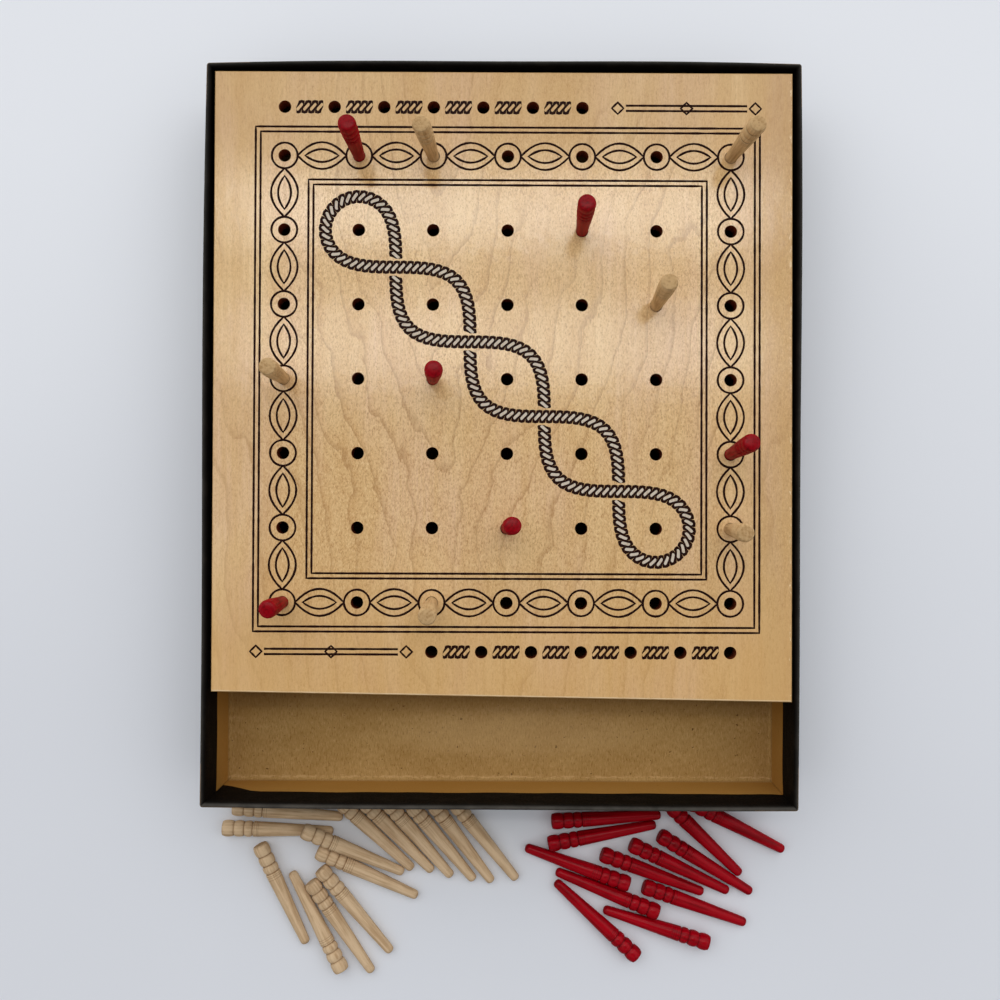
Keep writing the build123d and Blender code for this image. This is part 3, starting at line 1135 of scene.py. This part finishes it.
    def seat(self, node: str) -> Matrix:
        """Finds the place of a peg of the frame.

        Args:
            node: the peg's node.

        Returns:
            Its head's end, and the way that its head points.
        """
        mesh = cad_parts[node].data
        points = np.empty(len(mesh.vertices) * 3, np.float32)
        mesh.vertices.foreach_get("co", points)
        points = points.reshape(-1, 3).astype(float)
        mesh.calc_loop_triangles()
        corners = np.empty(len(mesh.loop_triangles) * 3, np.int32)
        mesh.loop_triangles.foreach_get("vertices", corners)
        a, b, c = (points[corners.reshape(-1, 3)[:, i]] for i in range(3))
        area = np.linalg.norm(np.cross(b - a, c - a), axis=1)[:, None]
        middle = (area * (a + b + c)).sum(0) / (3 * area.sum())
        parts = (a - middle, b - middle, c - middle, a + b + c - 3 * middle)
        way = np.linalg.eigh(sum((area * part).T @ part for part in parts))[1][:, 2]
        at = (points - middle) @ way
        off = np.linalg.norm(points - middle - np.outer(at, way), axis=1)
        third = (at.max() - at.min()) / 3
        if off[at > at.max() - third].max() < off[at < at.min() + third].max():
            way, at = -way, -at
        up = Vector(way)
        side = up.orthogonal().normalized()
        place = Matrix((side, up.cross(side), up)).transposed().to_4x4()
        place.translation = Vector(middle + way * at.max())
        return place

    def make(self, node: str) -> None:
        """Turns the peg that stands for one node of the frame.

        Args:
            node: the peg's node.
        """
        look = PegColour.of(node)
        draw = random.Random(node)
        outline = self.outline(draw)
        shift = (draw.uniform(3, 9), draw.uniform(-3, 3), draw.uniform(-400, 400))
        mesh = self.lathe.run(
            line_mesh(outline),
            Facets=self.facets,
            Ovality=draw.uniform(0.0, self.ovality),
            Grain_Shift=shift,
            Material=self.materials[look],
        )
        if turned_in(mesh):
            mesh.flip_normals()
        mesh.transform(self.seat(node) @ Matrix.Rotation(draw.uniform(0, math.tau), 4, "Z"))
        add_piece(f"turned_{node}", mesh, node, (node,))

    def build(self) -> None:
        """Turns every peg."""
        for node in sorted(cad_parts):
            if "_peg_" in node or "_spare_" in node:
                self.make(node)


@dataclass(frozen=True)
class Bow:
    """How far one side of the box stands out of true, as three waves along it."""

    once: float
    twice: float
    thrice: float

    def at(self, share: float) -> float:
        """The bow at a share of the side's length, in millimetres."""
        waves = ((self.once, 1), (self.twice, 2), (self.thrice, 3))
        return sum(size * math.sin(math.pi * count * share) for size, count in waves)


@dataclass
class PaperedBox:
    """The tray of the box with its slightly bowed walls, and the black paper round it.

    Sides are numbered from the front round to the right, and corners from the front left one.
    """

    width: float = 202.4
    length: float = 252.8
    height: float = 34.0
    paper: float = 0.25
    chipboard: float = 1.2
    turn_in: float = 15.0
    turn_in_waver: float = 0.8
    turn_in_corner: float = 1.1
    flap_drop: float = 9.0
    flap_reach: float = 13.0
    corner_radius: float = 1.0
    rim_radius: float = 0.85
    corner_slit: float = 0.15
    wall_drop: float = 0.3
    crease: float = 0.9
    dent: float = 0.07
    rim_waver: float = 0.06
    rim_sink: float = 0.04
    pucker: float = 0.05
    step: float = 4.0
    corner_steps: int = 6
    bows: tuple[Bow, ...] = (
        Bow(0.25, 0.0, 0.1),
        Bow(0.35, -0.15, 0.15),
        Bow(0.95, 0.0, 0.22),
        Bow(0.42, 0.33, 0.0),
    )
    corner_shifts: tuple[Point, ...] = ((-0.75, -0.25), (0.0, -1.0), (0.9, 1.0), (0.0, 0.45))
    wall_heights: tuple[float, ...] = (1.2, 4, 9, 15, 21, 26, 30)
    rim_steps: int = 8
    # How strong the painted highlight is across the rim, from its outer edge inwards; the front's is
    # broader.
    rim_painted_highlight: tuple[float, ...] = (0.15, 0.28, 0.34, 0.3, 0.12, 0.03, 0.0, 0.0, 0.0)
    front_rim_painted_highlight: tuple[float, ...] = (0.14, 0.22, 0.4, 0.52, 0.54, 0.44, 0.26, 0.12, 0.04)
    stay_reach: float = 14.0
    stay_tape: float = 0.15

    def halves(self, side: int) -> tuple[float, float]:
        """How far a side is from the middle, and half of its length."""
        across, along = self.width / 2, self.length / 2
        return (along, across) if side % 2 == 0 else (across, along)

    def ways(self, side: int) -> tuple[Vector, Vector]:
        """The way that a side faces, and the way along it.

        Args:
            side: the side.

        Returns:
            Both, one long.
        """
        turn = math.radians(90 * side - 90)
        out = Vector((math.cos(turn), math.sin(turn), 0))
        return out, Vector((-out.y, out.x, 0))

    def rise(self, height: float) -> float:
        """A height as a share of the box's own, from the top of the paper under it."""
        return max(0.0, (height - self.paper) / self.height)

    def lean(self, side: int, share: float, height: float) -> float:
        """How far a side stands out of true at a height, in millimetres."""
        return self.bows[side].at(share) * self.rise(height) ** 0.8

    def shift(self, side: int, share: float, height: float) -> Vector:
        """How far the rim's corners carry a side out of square at a height."""
        start, end = (Vector((*self.corner_shifts[s % 4], 0)) for s in (side, side + 1))
        return start.lerp(end, share) * self.rise(height)

    def on_side(self, side: int, share: float, inset: float, height: float, gap: float) -> Vector:
        """Finds a point of a side, whose ends are mitred where it meets the next ones.

        Args:
            side: the side.
            share: how far along it, from 0 to 1.
            inset: how far inwards.
            height: how high.
            gap: how far its ends stay short of the mitre.

        Returns:
            The point, in metres.
        """
        out, on = self.ways(side)
        away, half = self.halves(side)
        reach = (half - inset - gap) * (2 * share - 1)
        spot = out * (away - inset + self.lean(side, share, height)) + on * reach
        return (spot + self.shift(side, share, height) + Vector((0, 0, height))) * MM

    def on_round(self, station: Station, inset: float, height: float) -> Vector:
        """Finds a point of the outline with rounded corners.

        Args:
            station: where it is round the box.
            inset: how far inwards.
            height: how high.

        Returns:
            The point, in metres.
        """
        side, share, turn = station
        out, on = self.ways(side)
        away, half = self.halves(side)
        radius = max(self.corner_radius - inset, 0.08)
        straight = half - inset - radius
        middle = out * (away - inset - radius) + on * straight * (2 * share - 1)
        edge = (out * math.cos(turn) + on * math.sin(turn)) * radius
        lean = out * self.lean(side, share, height) if turn == 0 else Vector()
        lean += self.shift(side, share, height)
        return (middle + edge + lean + Vector((0, 0, height))) * MM

    def round_corner(self, side: int) -> list[Station]:
        """Stations round the corner at the end of a side."""
        steps = range(1, self.corner_steps)
        return [(side, 1.0, math.pi / 2 * i / self.corner_steps) for i in steps]

    def round_box(self) -> list[Station]:
        """Stations round the box: a side, a share of its straight part, and a turn into its corner.

        Returns:
            The stations, from the front left corner on.
        """
        stations = []
        for side in range(4):
            count = self.steps(side)
            stations += [(side, i / count, 0.0) for i in range(count + 1)] + self.round_corner(side)
        return stations

    def steps(self, side: int) -> int:
        """How many steps a side is divided into."""
        return round(2 * self.halves(side)[1] / self.step)

    def to_corner(self, side: int, share: float) -> float:
        """How far a spot on a side is from the nearer corner."""
        return min(share, 1 - share) * 2 * self.halves(side)[1]

    def turned_edge(self, station: Station, spot: Vector) -> float:
        """Finds the wavering edge of the paper that is turned in.

        Args:
            station: where it is round the box.
            spot: the point there, in millimetres.

        Returns:
            How high the edge is.
        """
        side, share, turn = station
        edge = self.height - self.paper - self.turn_in
        edge += self.turn_in_waver * noise(Vector((spot.x / 17, spot.y / 17, 4.0)))
        near = math.exp(-self.to_corner(side, share) / 3.0)
        edge += self.turn_in_corner * near * (1 if turn == 0 else 0.2)
        if side == 0:
            edge -= self.flap_drop * max(0.0, 1 - share * self.width / self.flap_reach)
        return edge

    def wrap_section(self, station: Station) -> list[Vector]:
        """Draws the paper's outline across the wall.

        Args:
            station: where it is round the box.

        Returns:
            The outline, from its outer foot over the rim and back inside the paper.
        """
        spot = self.on_round(station, 0, 0) / MM
        top = self.height - self.rim_radius
        edge = self.turned_edge(station, spot)
        outline = [(0.0, self.paper)]
        for height in self.wall_heights:
            dent = self.dent * noise(Vector((spot.x / 14, spot.y / 14, height / 11)))
            outline.append((-dent, height))
        outline.append((0.0, top))
        for i in range(1, self.rim_steps + 1):
            angle = math.pi * i / self.rim_steps
            rise = self.rim_radius + self.rim_waver * noise(Vector((spot.x / 9, spot.y / 9, 9.0)))
            inset = self.rim_radius * (1 - math.cos(angle))
            outline.append((inset, top + rise * math.sin(angle) - self.rim_sink))
        inside = 2 * self.paper + self.chipboard
        for share_down in (0.2, 0.45, 0.7, 0.9, 1.0):
            height = top + (edge - top) * share_down
            pucker = self.pucker * noise(Vector((spot.x / 6, spot.y / 6, height / 8)))
            outline.append((inside + pucker, height))
        glued = inside - self.paper
        outline += [(glued, edge), (glued, top), (self.rim_radius, top + 0.55)]
        outline += [(self.paper, top), (self.paper, self.paper)]
        return [self.on_round(station, *point) for point in outline]

    def wear_and_highlight(self, station: Station, count: int) -> list[float]:
        """Paints a highlight over the rim.

        Args:
            station: where it is round the box.
            count: how many points its outline has.

        Returns:
            How strong the painted highlight is at each of them.
        """
        side, _, turn = station
        front = {0: 1 - turn / (math.pi / 2), 3: turn / (math.pi / 2)}.get(side, 0.0)
        rim = [a + (b - a) * front for a, b in zip(self.rim_painted_highlight, self.front_rim_painted_highlight)]
        below = [0.0] * (len(self.wall_heights) + 1)
        return (below + rim + [0.0] * count)[:count]

    def make_wrap(self, material: Material) -> None:
        """Folds the black paper round the walls.

        Args:
            material: the paper's material.
        """
        stations = self.round_box()
        sections = [self.wrap_section(station) for station in stations]
        mesh = loft(sections, closed=True)
        # The rim's painted highlight, carried as a mesh attribute.
        wear_and_highlight = [share for station in stations for share in self.wear_and_highlight(station, len(sections[0]))]
        mesh.attributes.new("wear_and_highlight", "FLOAT", "POINT").data.foreach_set("value", wear_and_highlight)
        mesh.materials.append(material)
        add_piece("folded_black_wrap", mesh, "box", ("side_wrap",))

    def make_stays(self, material: Material) -> None:
        """Tapes the tray's four corners, under the wrap.

        Args:
            material: the tape's material.
        """
        inner = self.paper + self.stay_tape
        low, high = self.paper + self.chipboard, self.height - self.paper
        heights = [low + (high - low) * i / 6 for i in range(7)]
        outline = [(self.paper, h) for h in heights] + [(inner, h) for h in reversed(heights)]
        parts = []
        for side in range(4):
            after = (side + 1) % 4
            before_it, after_it = (self.stay_reach / (2 * self.halves(s)[1]) for s in (side, after))
            stations = [(side, 1 - before_it * (1 - i / 4), 0.0) for i in range(5)]
            stations += self.round_corner(side)
            stations += [(after, after_it * i / 4, 0.0) for i in range(5)]
            sections = [[self.on_round(station, *point) for point in outline] for station in stations]
            parts.append(loft(sections, closed=False))
        mesh = join(parts)
        mesh.materials.append(material)
        add_piece("taped_corners", mesh, "box", ("corner_stays",))

    def wall_section(self, side: int, share: float) -> list[Vector]:
        """Draws one wall's outline across its thickness, with the rounded crease at its foot.

        Args:
            side: the wall's side.
            share: how far along it, from 0 to 1.

        Returns:
            The outline.
        """
        inner = self.paper + self.chipboard
        top = self.height - self.paper - self.wall_drop
        taped = self.to_corner(side, share) < self.stay_reach + 0.5
        outer = self.paper + (self.stay_tape if taped else 0.0)
        up = (inner + 0.02, 12.0, 24.0, top)
        foot = [(outer, height) for height in up] + [(inner, height) for height in up[:0:-1]]
        curve = ((0.0, 1.5), (0.08, 0.8), (0.35, 0.35), (0.8, 0.08))
        foot += [(inner + off * self.crease, inner + above * self.crease) for off, above in curve]
        foot.append((inner + 1.5 * self.crease, inner + 0.02))
        cut = self.corner_radius - self.paper
        return [
            self.on_side(side, share, inset, height, self.corner_slit / 2 + (cut if inset < inner else 0.0))
            for inset, height in foot
        ]

    def make_tray(self, material: Material) -> None:
        """Folds the chipboard tray: a floor and four walls.

        Args:
            material: the chipboard's material.
        """
        parts = []
        for side in range(4):
            count = self.steps(side)
            sections = [self.wall_section(side, i / count) for i in range(count + 1)]
            parts.append(loft(sections, closed=False))
        floor = bmesh.new()
        bmesh.ops.create_cube(floor, size=1.0)
        size = Vector((self.width - self.corner_radius, self.length - self.corner_radius, self.chipboard))
        centre = Vector((0, 0, self.paper + self.chipboard / 2))
        for corner in floor.verts:
            corner.co = (corner.co * size + centre) * MM
        mesh = join([*parts, as_mesh(floor, "floor_of_tray")])
        mesh.materials.append(material)
        add_piece("folded_chipboard_tray", mesh, "box", ("tray",))

    def build(self) -> None:
        """Makes and dresses the pieces of the box."""
        board = ChipboardFinish().material()
        paper = BlackPaperFinish().material()
        self.make_tray(board)
        self.make_wrap(paper)
        self.make_stays(TapeFinish().material())
        dress("board_rest", board)
        dress("bottom_sheet", paper)


@dataclass
class BoardPrint:
    """The print on the board: a ruled border round the outer holes, and laid rope.

    It is a plain design of its own, as large and as dense as a printed board of this kind has.
    """

    pitch: float = 25.4
    count: int = 7
    score_count: int = 7
    left: float = -74.45
    back: float = 95.3
    score_offset: float = 16.7
    score_rope: float = 4.6
    score_bars: tuple[tuple[bool, float, float], ...] = ((True, 37.0, 88.5), (False, -85.5, -30.0))
    bar_gap: float = 1.8
    bar_inset: float = 5.0
    lozenge: float = 2.0
    lozenge_inset: float = 2.2
    top: float = 33.0
    lift: float = 0.01
    ink_depth: float = 0.03
    line: float = 0.74
    fray: float = 0.45
    ragged: float = 0.9
    stroke_step: float = 1.5
    rules: tuple[float, ...] = (9.9, 8.2, -8.2, -9.9)
    eyelet: float = 4.4
    spindle_wide: Point = (4.6, 2.2)
    spindle_inset: float = 2.6
    rope_width: float = 4.7
    rope_pitch: float = 2.35
    rope_slant: float = 0.7
    rope_line: float = 0.52
    rope_edge: float = 0.95
    rope_round: float = 0.5
    rope_taper: float = 0.12
    rope_crown: float = 0.25
    rope_steps: int = 6
    filling_share: float = 0.6
    rope_clear: float = 0.15
    swing: float = 11.4
    seed: float = 7.0

    def __post_init__(self) -> None:
        """Makes the inks, and the recipes for rules and rope."""
        self.ink = DARK_INK.material()
        self.pale_ink = PALE_INK.material()
        self.rule = self.make_rule()
        self.rope = self.make_rope()

    def hole(self, row: int, column: int) -> Point:
        """A hole of the grid, by its row from the back and its column from the left, both from 1."""
        return self.left + (column - 1) * self.pitch, self.back - (row - 1) * self.pitch

    def score_hole(self, at_back: bool, number: float) -> Point:
        """Finds a hole of a scoring row.

        Args:
            at_back: whether it is in the back row.
            number: its number from 0, counted from the left at the back and the right in front.

        Returns:
            Its middle.
        """
        step = 4 * self.pitch / (self.score_count - 1)
        if at_back:
            return self.left + number * step, self.back + self.score_offset
        x, y = self.hole(self.count, self.count)
        return x - number * step, y - self.score_offset

    def make_rule(self) -> Recipe:
        """The tree that prints lines: flat, a little ragged, along every line of a mesh.

        Returns:
            The tree.
        """
        tree = Recipe("printed_rule", dict.fromkeys(("Width", "Depth", "Ragged", "Seed"), "Float"))
        path = tree.flow("GeometryNodeMeshToCurve", Mesh=tree.take("Geometry"))
        path = tree.flow("GeometryNodeSetCurveNormal", {"mode": "Z_UP"}, Curve=path)
        shape = "GeometryNodeCurvePrimitiveQuadrilateral"
        sizes = {"Width": tree.take("Width"), "Height": tree.take("Depth")}
        section = tree.flow(shape, {"mode": "RECTANGLE"}, **sizes)
        place = {"Vector": tree.flow("GeometryNodeInputPosition"), "W": tree.take("Seed")}
        in_four = {"noise_dimensions": "4D"}
        fray = tree.flow("ShaderNodeTexNoise", in_four, Scale=self.fray / MM, Detail=2.0, **place)
        wide = (fray - 0.5) * tree.take("Ragged") + 1.0
        feeds = {"Curve": path, "Profile_Curve": section, "Scale": wide, "Fill_Caps": True}
        return tree.end(tree.flow("GeometryNodeCurveToMesh", **feeds))

    def make_rope(self) -> Recipe:
        """The tree that lays copies of one twist along a line, bent to follow it.

        Returns:
            The tree.
        """
        tree = Recipe("laid_rope", {"Twist": "Object", "Pitch": "Float"})
        path = tree.flow("GeometryNodeMeshToCurve", Mesh=tree.take("Geometry"))
        length = tree.flow("GeometryNodeCurveLength", Curve=path)
        pitch = tree.take("Pitch")
        count = (length / pitch).maths("ROUND")
        step = length / count
        settings = {"mode": "OFFSET", "count_mode": "TOTAL"}
        ends = {"Start_Location": tree.vector(step * 0.5), "Offset": tree.vector(step)}
        row = tree.flow("GeometryNodeMeshLine", settings, Count=count, **ends)
        twist = tree.flow("GeometryNodeObjectInfo", None, "Geometry", Object=tree.take("Twist"))
        size = tree.vector(step / pitch, 1.0, 1.0)
        laid = tree.flow("GeometryNodeInstanceOnPoints", Points=row, Instance=twist, Scale=size)
        straight = tree.flow("GeometryNodeRealizeInstances", Geometry=laid)
        along, off, up = tree.split(tree.flow("GeometryNodeInputPosition"))
        sample = tree.add("GeometryNodeSampleCurve", {"mode": "LENGTH"}, Curves=path, Length=along)
        x, y, z = tree.split(Flow(tree, sample.outputs["Position"]))
        on_x, on_y, _ = tree.split(Flow(tree, sample.outputs["Tangent"]))
        spot = tree.vector(x - on_y * off, y + on_x * off, z + up)
        return tree.end(tree.flow("GeometryNodeSetPosition", Geometry=straight, Position=spot))

    def twist_loop(self, inset: float, end_inset: float, narrow: float) -> list[Point]:
        """Draws the outline of one slanted strand of the rope.

        Args:
            inset: how far it is let in at its sides.
            end_inset: how far it is let in at its ends.
            narrow: the share of its width that it loses towards them.

        Returns:
            The outline.
        """
        half_wide, half_long = self.rope_width / 2, self.rope_pitch / 2
        reach = half_wide - self.rope_crown - end_inset
        side = []
        for i in range(self.rope_steps + 1):
            t = 2 * i / self.rope_steps - 1
            out = (half_long - inset) * (1 - narrow * abs(t) ** 3)
            side.append((self.rope_slant * math.sin(t * math.pi / 2), t * reach, out))
        right = [(x + out, y) for x, y, out in side]
        left = [(x - out, y) for x, y, out in reversed(side)]
        crown = (self.rope_slant, half_wide - end_inset)
        return [*right, crown, *left, (-crown[0], -crown[1])]

    def lay_rope(
        self,
        loops: list[tuple[list[Point], float]],
        closed: bool,
        stretches: list[list[Point]],
        ink: Material,
    ) -> Mesh:
        """Lays one twist along stretches of rope.

        Args:
            loops: outlines of the twist and their heights, each joined to the next.
            closed: whether the last of them is joined to the first, or both are closed by a face.
            stretches: the lines that the rope follows.
            ink: its material.

        Returns:
            The rope.
        """
        rings = [[Vector((*point, z)) * MM for point in points] for points, z in loops]
        twist = put("twist", skin(rings, closed))
        feeds = {"Twist": twist, "Pitch": self.rope_pitch * MM, "Material": ink}
        laid = [self.rope.run(line_mesh(self.at_height(points)), **feeds) for points in stretches]
        bpy.data.objects.remove(twist)
        return join(laid)

    def at_height(self, points: list[Point]) -> list[Triple]:
        """Points laid on the board's face."""
        return [(x, y, self.top + self.lift) for x, y in points]

    def stroke(self, points: list[Point], closed: bool = False) -> Mesh:
        """Draws one line of print, cut into short steps first.

        Args:
            points: the points that it joins.
            closed: whether the last of them is joined to the first.

        Returns:
            The line.
        """
        ends = points + points[:1] if closed else points
        fine = [ends[0]]
        for a, b in zip(ends, ends[1:]):
            steps = max(1, round(math.dist(a, b) / self.stroke_step))
            fine += [tuple(p + (q - p) * i / steps for p, q in zip(a, b)) for i in range(1, steps + 1)]
        if closed:
            fine.pop()
        return line_mesh(self.at_height(fine), closed)

    def circle(self, middle: Point, radius: float, facets: int = 24) -> Mesh:
        """A line round a circle.

        Args:
            middle: its middle.
            radius: its radius.
            facets: how many sides it has.

        Returns:
            The line.
        """
        turns = [math.tau * i / facets for i in range(facets)]
        points = [(middle[0] + radius * math.cos(t), middle[1] + radius * math.sin(t)) for t in turns]
        return self.stroke(points, closed=True)

    def border_lines(self) -> list[Mesh]:
        """The ruled border: nested squares, an eyelet at each hole and spindles between them.

        Returns:
            Its lines.
        """
        x_low, y_high = self.hole(1, 1)
        x_high, y_low = self.hole(self.count, self.count)
        lines = []
        for out in self.rules:
            low, high = (x_low - out, y_low - out), (x_high + out, y_high + out)
            corners = [low, (high[0], low[1]), high, (low[0], high[1])]
            lines.append(self.stroke(corners, closed=True))
        last = self.count
        for row in range(1, last + 1):
            for column in range(1, last + 1):
                if row in (1, last) or column in (1, last):
                    lines.append(self.circle(self.hole(row, column), self.eyelet))
        for k in range(self.count - 1):
            for x in (x_low, x_high):
                lines += self.spindle((x, y_high - (k + 0.5) * self.pitch), (0.0, 1.0))
            for y in (y_low, y_high):
                lines += self.spindle((x_low + (k + 0.5) * self.pitch, y), (1.0, 0.0))
        return lines

    def spindle(self, middle: Point, on: Point) -> list[Mesh]:
        """Draws a long pointed oval with a smaller one inside it, between two eyelets.

        Args:
            middle: its middle.
            on: the way along it.

        Returns:
            Both lines.
        """
        half = self.pitch / 2 - self.eyelet
        steps = 10
        lines = []
        for long, wide in zip((half, half - self.spindle_inset), self.spindle_wide):
            points = []
            for way in (1, -1):
                for i in range(steps):
                    t = way * (2 * i / steps - 1)
                    bulge = way * wide * (1 - t * t)
                    x = middle[0] + on[0] * long * t - on[1] * bulge
                    points.append((x, middle[1] + on[1] * long * t + on[0] * bulge))
            lines.append(self.stroke(points, closed=True))
        return lines

    def bar_lines(self) -> list[Mesh]:
        """A bar of two rules with three lozenges, beside each scoring row.

        Returns:
            Their lines.
        """
        lines = []
        for at_back, low, high in self.score_bars:
            y = self.score_hole(at_back, 0)[1]
            for side in (-1, 1):
                level = y + side * self.bar_gap / 2
                lines.append(self.stroke([(low + self.bar_inset, level), (high - self.bar_inset, level)]))
            for x in (low + self.lozenge_inset, high - self.lozenge_inset, (low + high) / 2):
                lines.append(self.circle((x, y), self.lozenge, 4))
        return lines

    def strand(self, way: int) -> list[tuple[float, Point]]:
        """Draws one of the rope's two strands and the turn at its end, with a fine step.

        Args:
            way: 1 or -1, for the way that it runs along the diagonal.

        Returns:
            Places along the diagonal, from its middle, and points.
        """
        x, y = self.hole(4, 4)
        half = math.sqrt(0.5)
        period = self.pitch * math.sqrt(2)
        reach = 2 * period
        path = [reach * (i / 140 - 1) * way for i in range(281)]
        line = [(s, self.swing * math.cos(math.pi * s / period) * way) for s in path]
        for i in range(1, 30):
            turn = math.pi * i / 30
            line.append((way * (reach + self.swing * math.sin(turn)), way * self.swing * math.cos(turn)))
        return [(s, (x + half * s + half * v, y - half * s + half * v)) for s, v in line]

    def guilloche(self) -> list[list[Point]]:
        """One endless rope that crosses itself between the holes of the diagonal and parts round them.

        Returns:
            The stretches of it that show, broken where it passes under itself.
        """
        strands = (self.strand(1), self.strand(-1))
        period = self.pitch * math.sqrt(2)
        clear = self.rope_width / 2 + self.rope_clear
        shown = []
        for parity, strand in enumerate(strands):
            runs: list[list[Point]] = [[]]
            for s, point in strand:
                crossing = abs(s) < 2 * period - self.swing and round(s / period - 0.5) % 2 == parity
                if crossing and min(math.dist(point, spot) for _, spot in strands[1 - parity]) < clear:
                    runs.append([])
                else:
                    runs[-1].append(point)
            shown.append([run for run in runs if run])
        first, second = shown
        turns_round = [first[-1] + second[0][1:], second[-1] + first[0][1:]]
        return first[1:-1] + second[1:-1] + turns_round

    def score_ropes(self) -> list[list[Point]]:
        """A short length of rope between each two holes of a scoring row.

        Returns:
            The lines that they follow.
        """
        stretches = []
        for at_back in (True, False):
            for k in range(self.score_count - 1):
                x, y = self.score_hole(at_back, k + 0.5)
                stretches.append([(x - self.score_rope, y), (x, y), (x + self.score_rope, y)])
        return stretches

    def build(self) -> None:
        """Prints everything, as pieces that ride on the board."""
        rules = self.rule.run(
            join(self.border_lines() + self.bar_lines()),
            Width=self.line * MM,
            Depth=self.ink_depth * MM,
            Ragged=self.ragged,
            Seed=self.seed,
            Material=self.ink,
        )
        outer = self.twist_loop(0.0, 0.0, self.rope_taper)
        inner = self.twist_loop(self.rope_line, self.rope_edge, self.rope_round)
        deep = self.ink_depth
        outline = [(outer, 0.0), (outer, deep), (inner, deep), (inner, 0.0)]
        filling = [(inner, 0.0), (inner, deep * self.filling_share)]
        plait = self.guilloche()
        rope = self.lay_rope(outline, True, plait + self.score_ropes(), self.ink)
        add_piece("printed_border", rules, "board")
        add_piece("printed_rope", rope, "board")
        add_piece("printed_rope_filling", self.lay_rope(filling, False, plait, self.pale_ink), "board")
        dress("board", MapleFinish().material())


@dataclass
class Studio:
    """The floor, the light and the camera, none of them part of the game."""

    camera_at: Triple = (-1.5, -26.0, 402.323)
    camera_turn: Triple = (0.609, -0.155, 0.220)
    lens: float = 39.06
    sensor: float = 36.0
    floor_reach: float = 3000.0
    floor_drop: float = 0.02
    floor_cloud: Grain = Grain((0.006, 0.006, 0.006), 1)
    floor_front_painted_shade: Colour = tone(224, 227, 232)
    floor_back: Colour = tone(240, 243, 247)
    floor_change: float = 170.0
    panel_height: float = 2033.0
    panel_width: float = 1190.0
    panels: tuple[Triple, ...] = (
        (253.0, 430.0, 3.7),
        (430.0, 560.0, 0.3),
        (560.0, 705.0, 5.4),
        (705.0, 950.0, 0.4),
    )
    panel_colour: Colour = tone(255, 252, 246)
    sky_colour: Colour = tone(250, 251, 255)
    seen_colour: Colour = tone(216, 220, 225)
    sky: float = 1.13
    sky_tilt: float = 0.9
    low_sky: float = 0.04
    low_sky_to: float = 0.75
    overhead: float = 0.14
    overhead_from: float = 0.84
    overhead_full: float = 0.95

    def make_camera(self) -> None:
        """The camera, straight above the board."""
        data = bpy.data.cameras.new("camera")
        data.lens = self.lens
        data.sensor_width = self.sensor
        data.clip_start = 0.01
        camera = put("camera", data)
        camera.location = Vector(self.camera_at) * MM
        camera.rotation_euler = Euler([math.radians(a) for a in self.camera_turn], "XYZ")
        bpy.context.scene.camera = camera

    def make_panels(self) -> None:
        """A window of panes high behind the box, each from one distance to another."""
        for near, far, radiance in self.panels:
            data = bpy.data.lights.new("panel", "AREA")
            data.shape = "RECTANGLE"
            data.size, data.size_y = self.panel_width * MM, (far - near) * MM
            data.energy = 4 * radiance * data.size * data.size_y
            data.color = self.panel_colour[:3]
            put("panel", data).location = Vector((0, (near + far) / 2, self.panel_height)) * MM

    def make_room(self) -> None:
        """An even light from all round, dimmer overhead, in front and low down."""
        world = bpy.data.worlds.new("room")
        world.use_nodes = True
        tree = Tree(world.node_tree)
        _, back, up = tree.split(tree.flow("ShaderNodeTexCoord", None, "Generated"))
        overhead = up.span(self.overhead_from, self.overhead_full, self.sky, self.overhead)
        limits = {"From_Max": self.low_sky_to, "To_Min": self.low_sky, "To_Max": 1.0}
        low = tree.flow("ShaderNodeMapRange", Value=up, **limits)
        strength = overhead * (back * self.sky_tilt + 1.0) * low
        room = tree.flow("ShaderNodeBackground", Color=self.sky_colour, Strength=strength)
        shown = tree.flow("ShaderNodeBackground", Color=self.seen_colour, Strength=1.0)
        seen = tree.flow("ShaderNodeLightPath", None, "Is Camera Ray")
        either = tree.flow("ShaderNodeMixShader", _0=seen, _1=room, _2=shown)
        tree.add("ShaderNodeOutputWorld", Surface=either)
        bpy.context.scene.world = world

    def make_floor(self) -> None:
        """A pale floor, painted darker towards the front as a painted shadow."""
        mesh = bpy.data.meshes.new("floor")
        ways = ((-1, -1), (1, -1), (1, 1), (-1, 1))
        reach, low = self.floor_reach * MM, -self.floor_drop * MM
        mesh.from_pydata([(x * reach, y * reach, low) for x, y in ways], [], [(0, 1, 2, 3)])
        paint = Paint("pale_floor")
        # Painted shadow: the floor darker towards the front.
        share = paint.spot()[1].span(-self.floor_change, self.floor_change)
        share = share + paint.noise(self.floor_cloud).span(0.3, 0.7, -0.1, 0.1)
        colour = paint.mix(share, self.floor_front_painted_shade, self.floor_back)
        mesh.materials.append(paint.finish(Base_Color=colour, Roughness=0.95, Specular_IOR_Level=0.1))
        floor = put("floor", mesh)

    def build(self) -> None:
        """Sets the studio up."""
        bpy.context.scene.view_settings.view_transform = "Standard"
        self.make_camera()
        self.make_panels()
        self.make_room()
        self.make_floor()


def main() -> None:
    """Builds the studio and every piece of the game."""
    logging.basicConfig(level=logging.INFO, format="%(message)s")
    Studio().build()
    PaperedBox().build()
    BoardPrint().build()
    PegMaker().build()


if __name__ == "__main__":
    main()
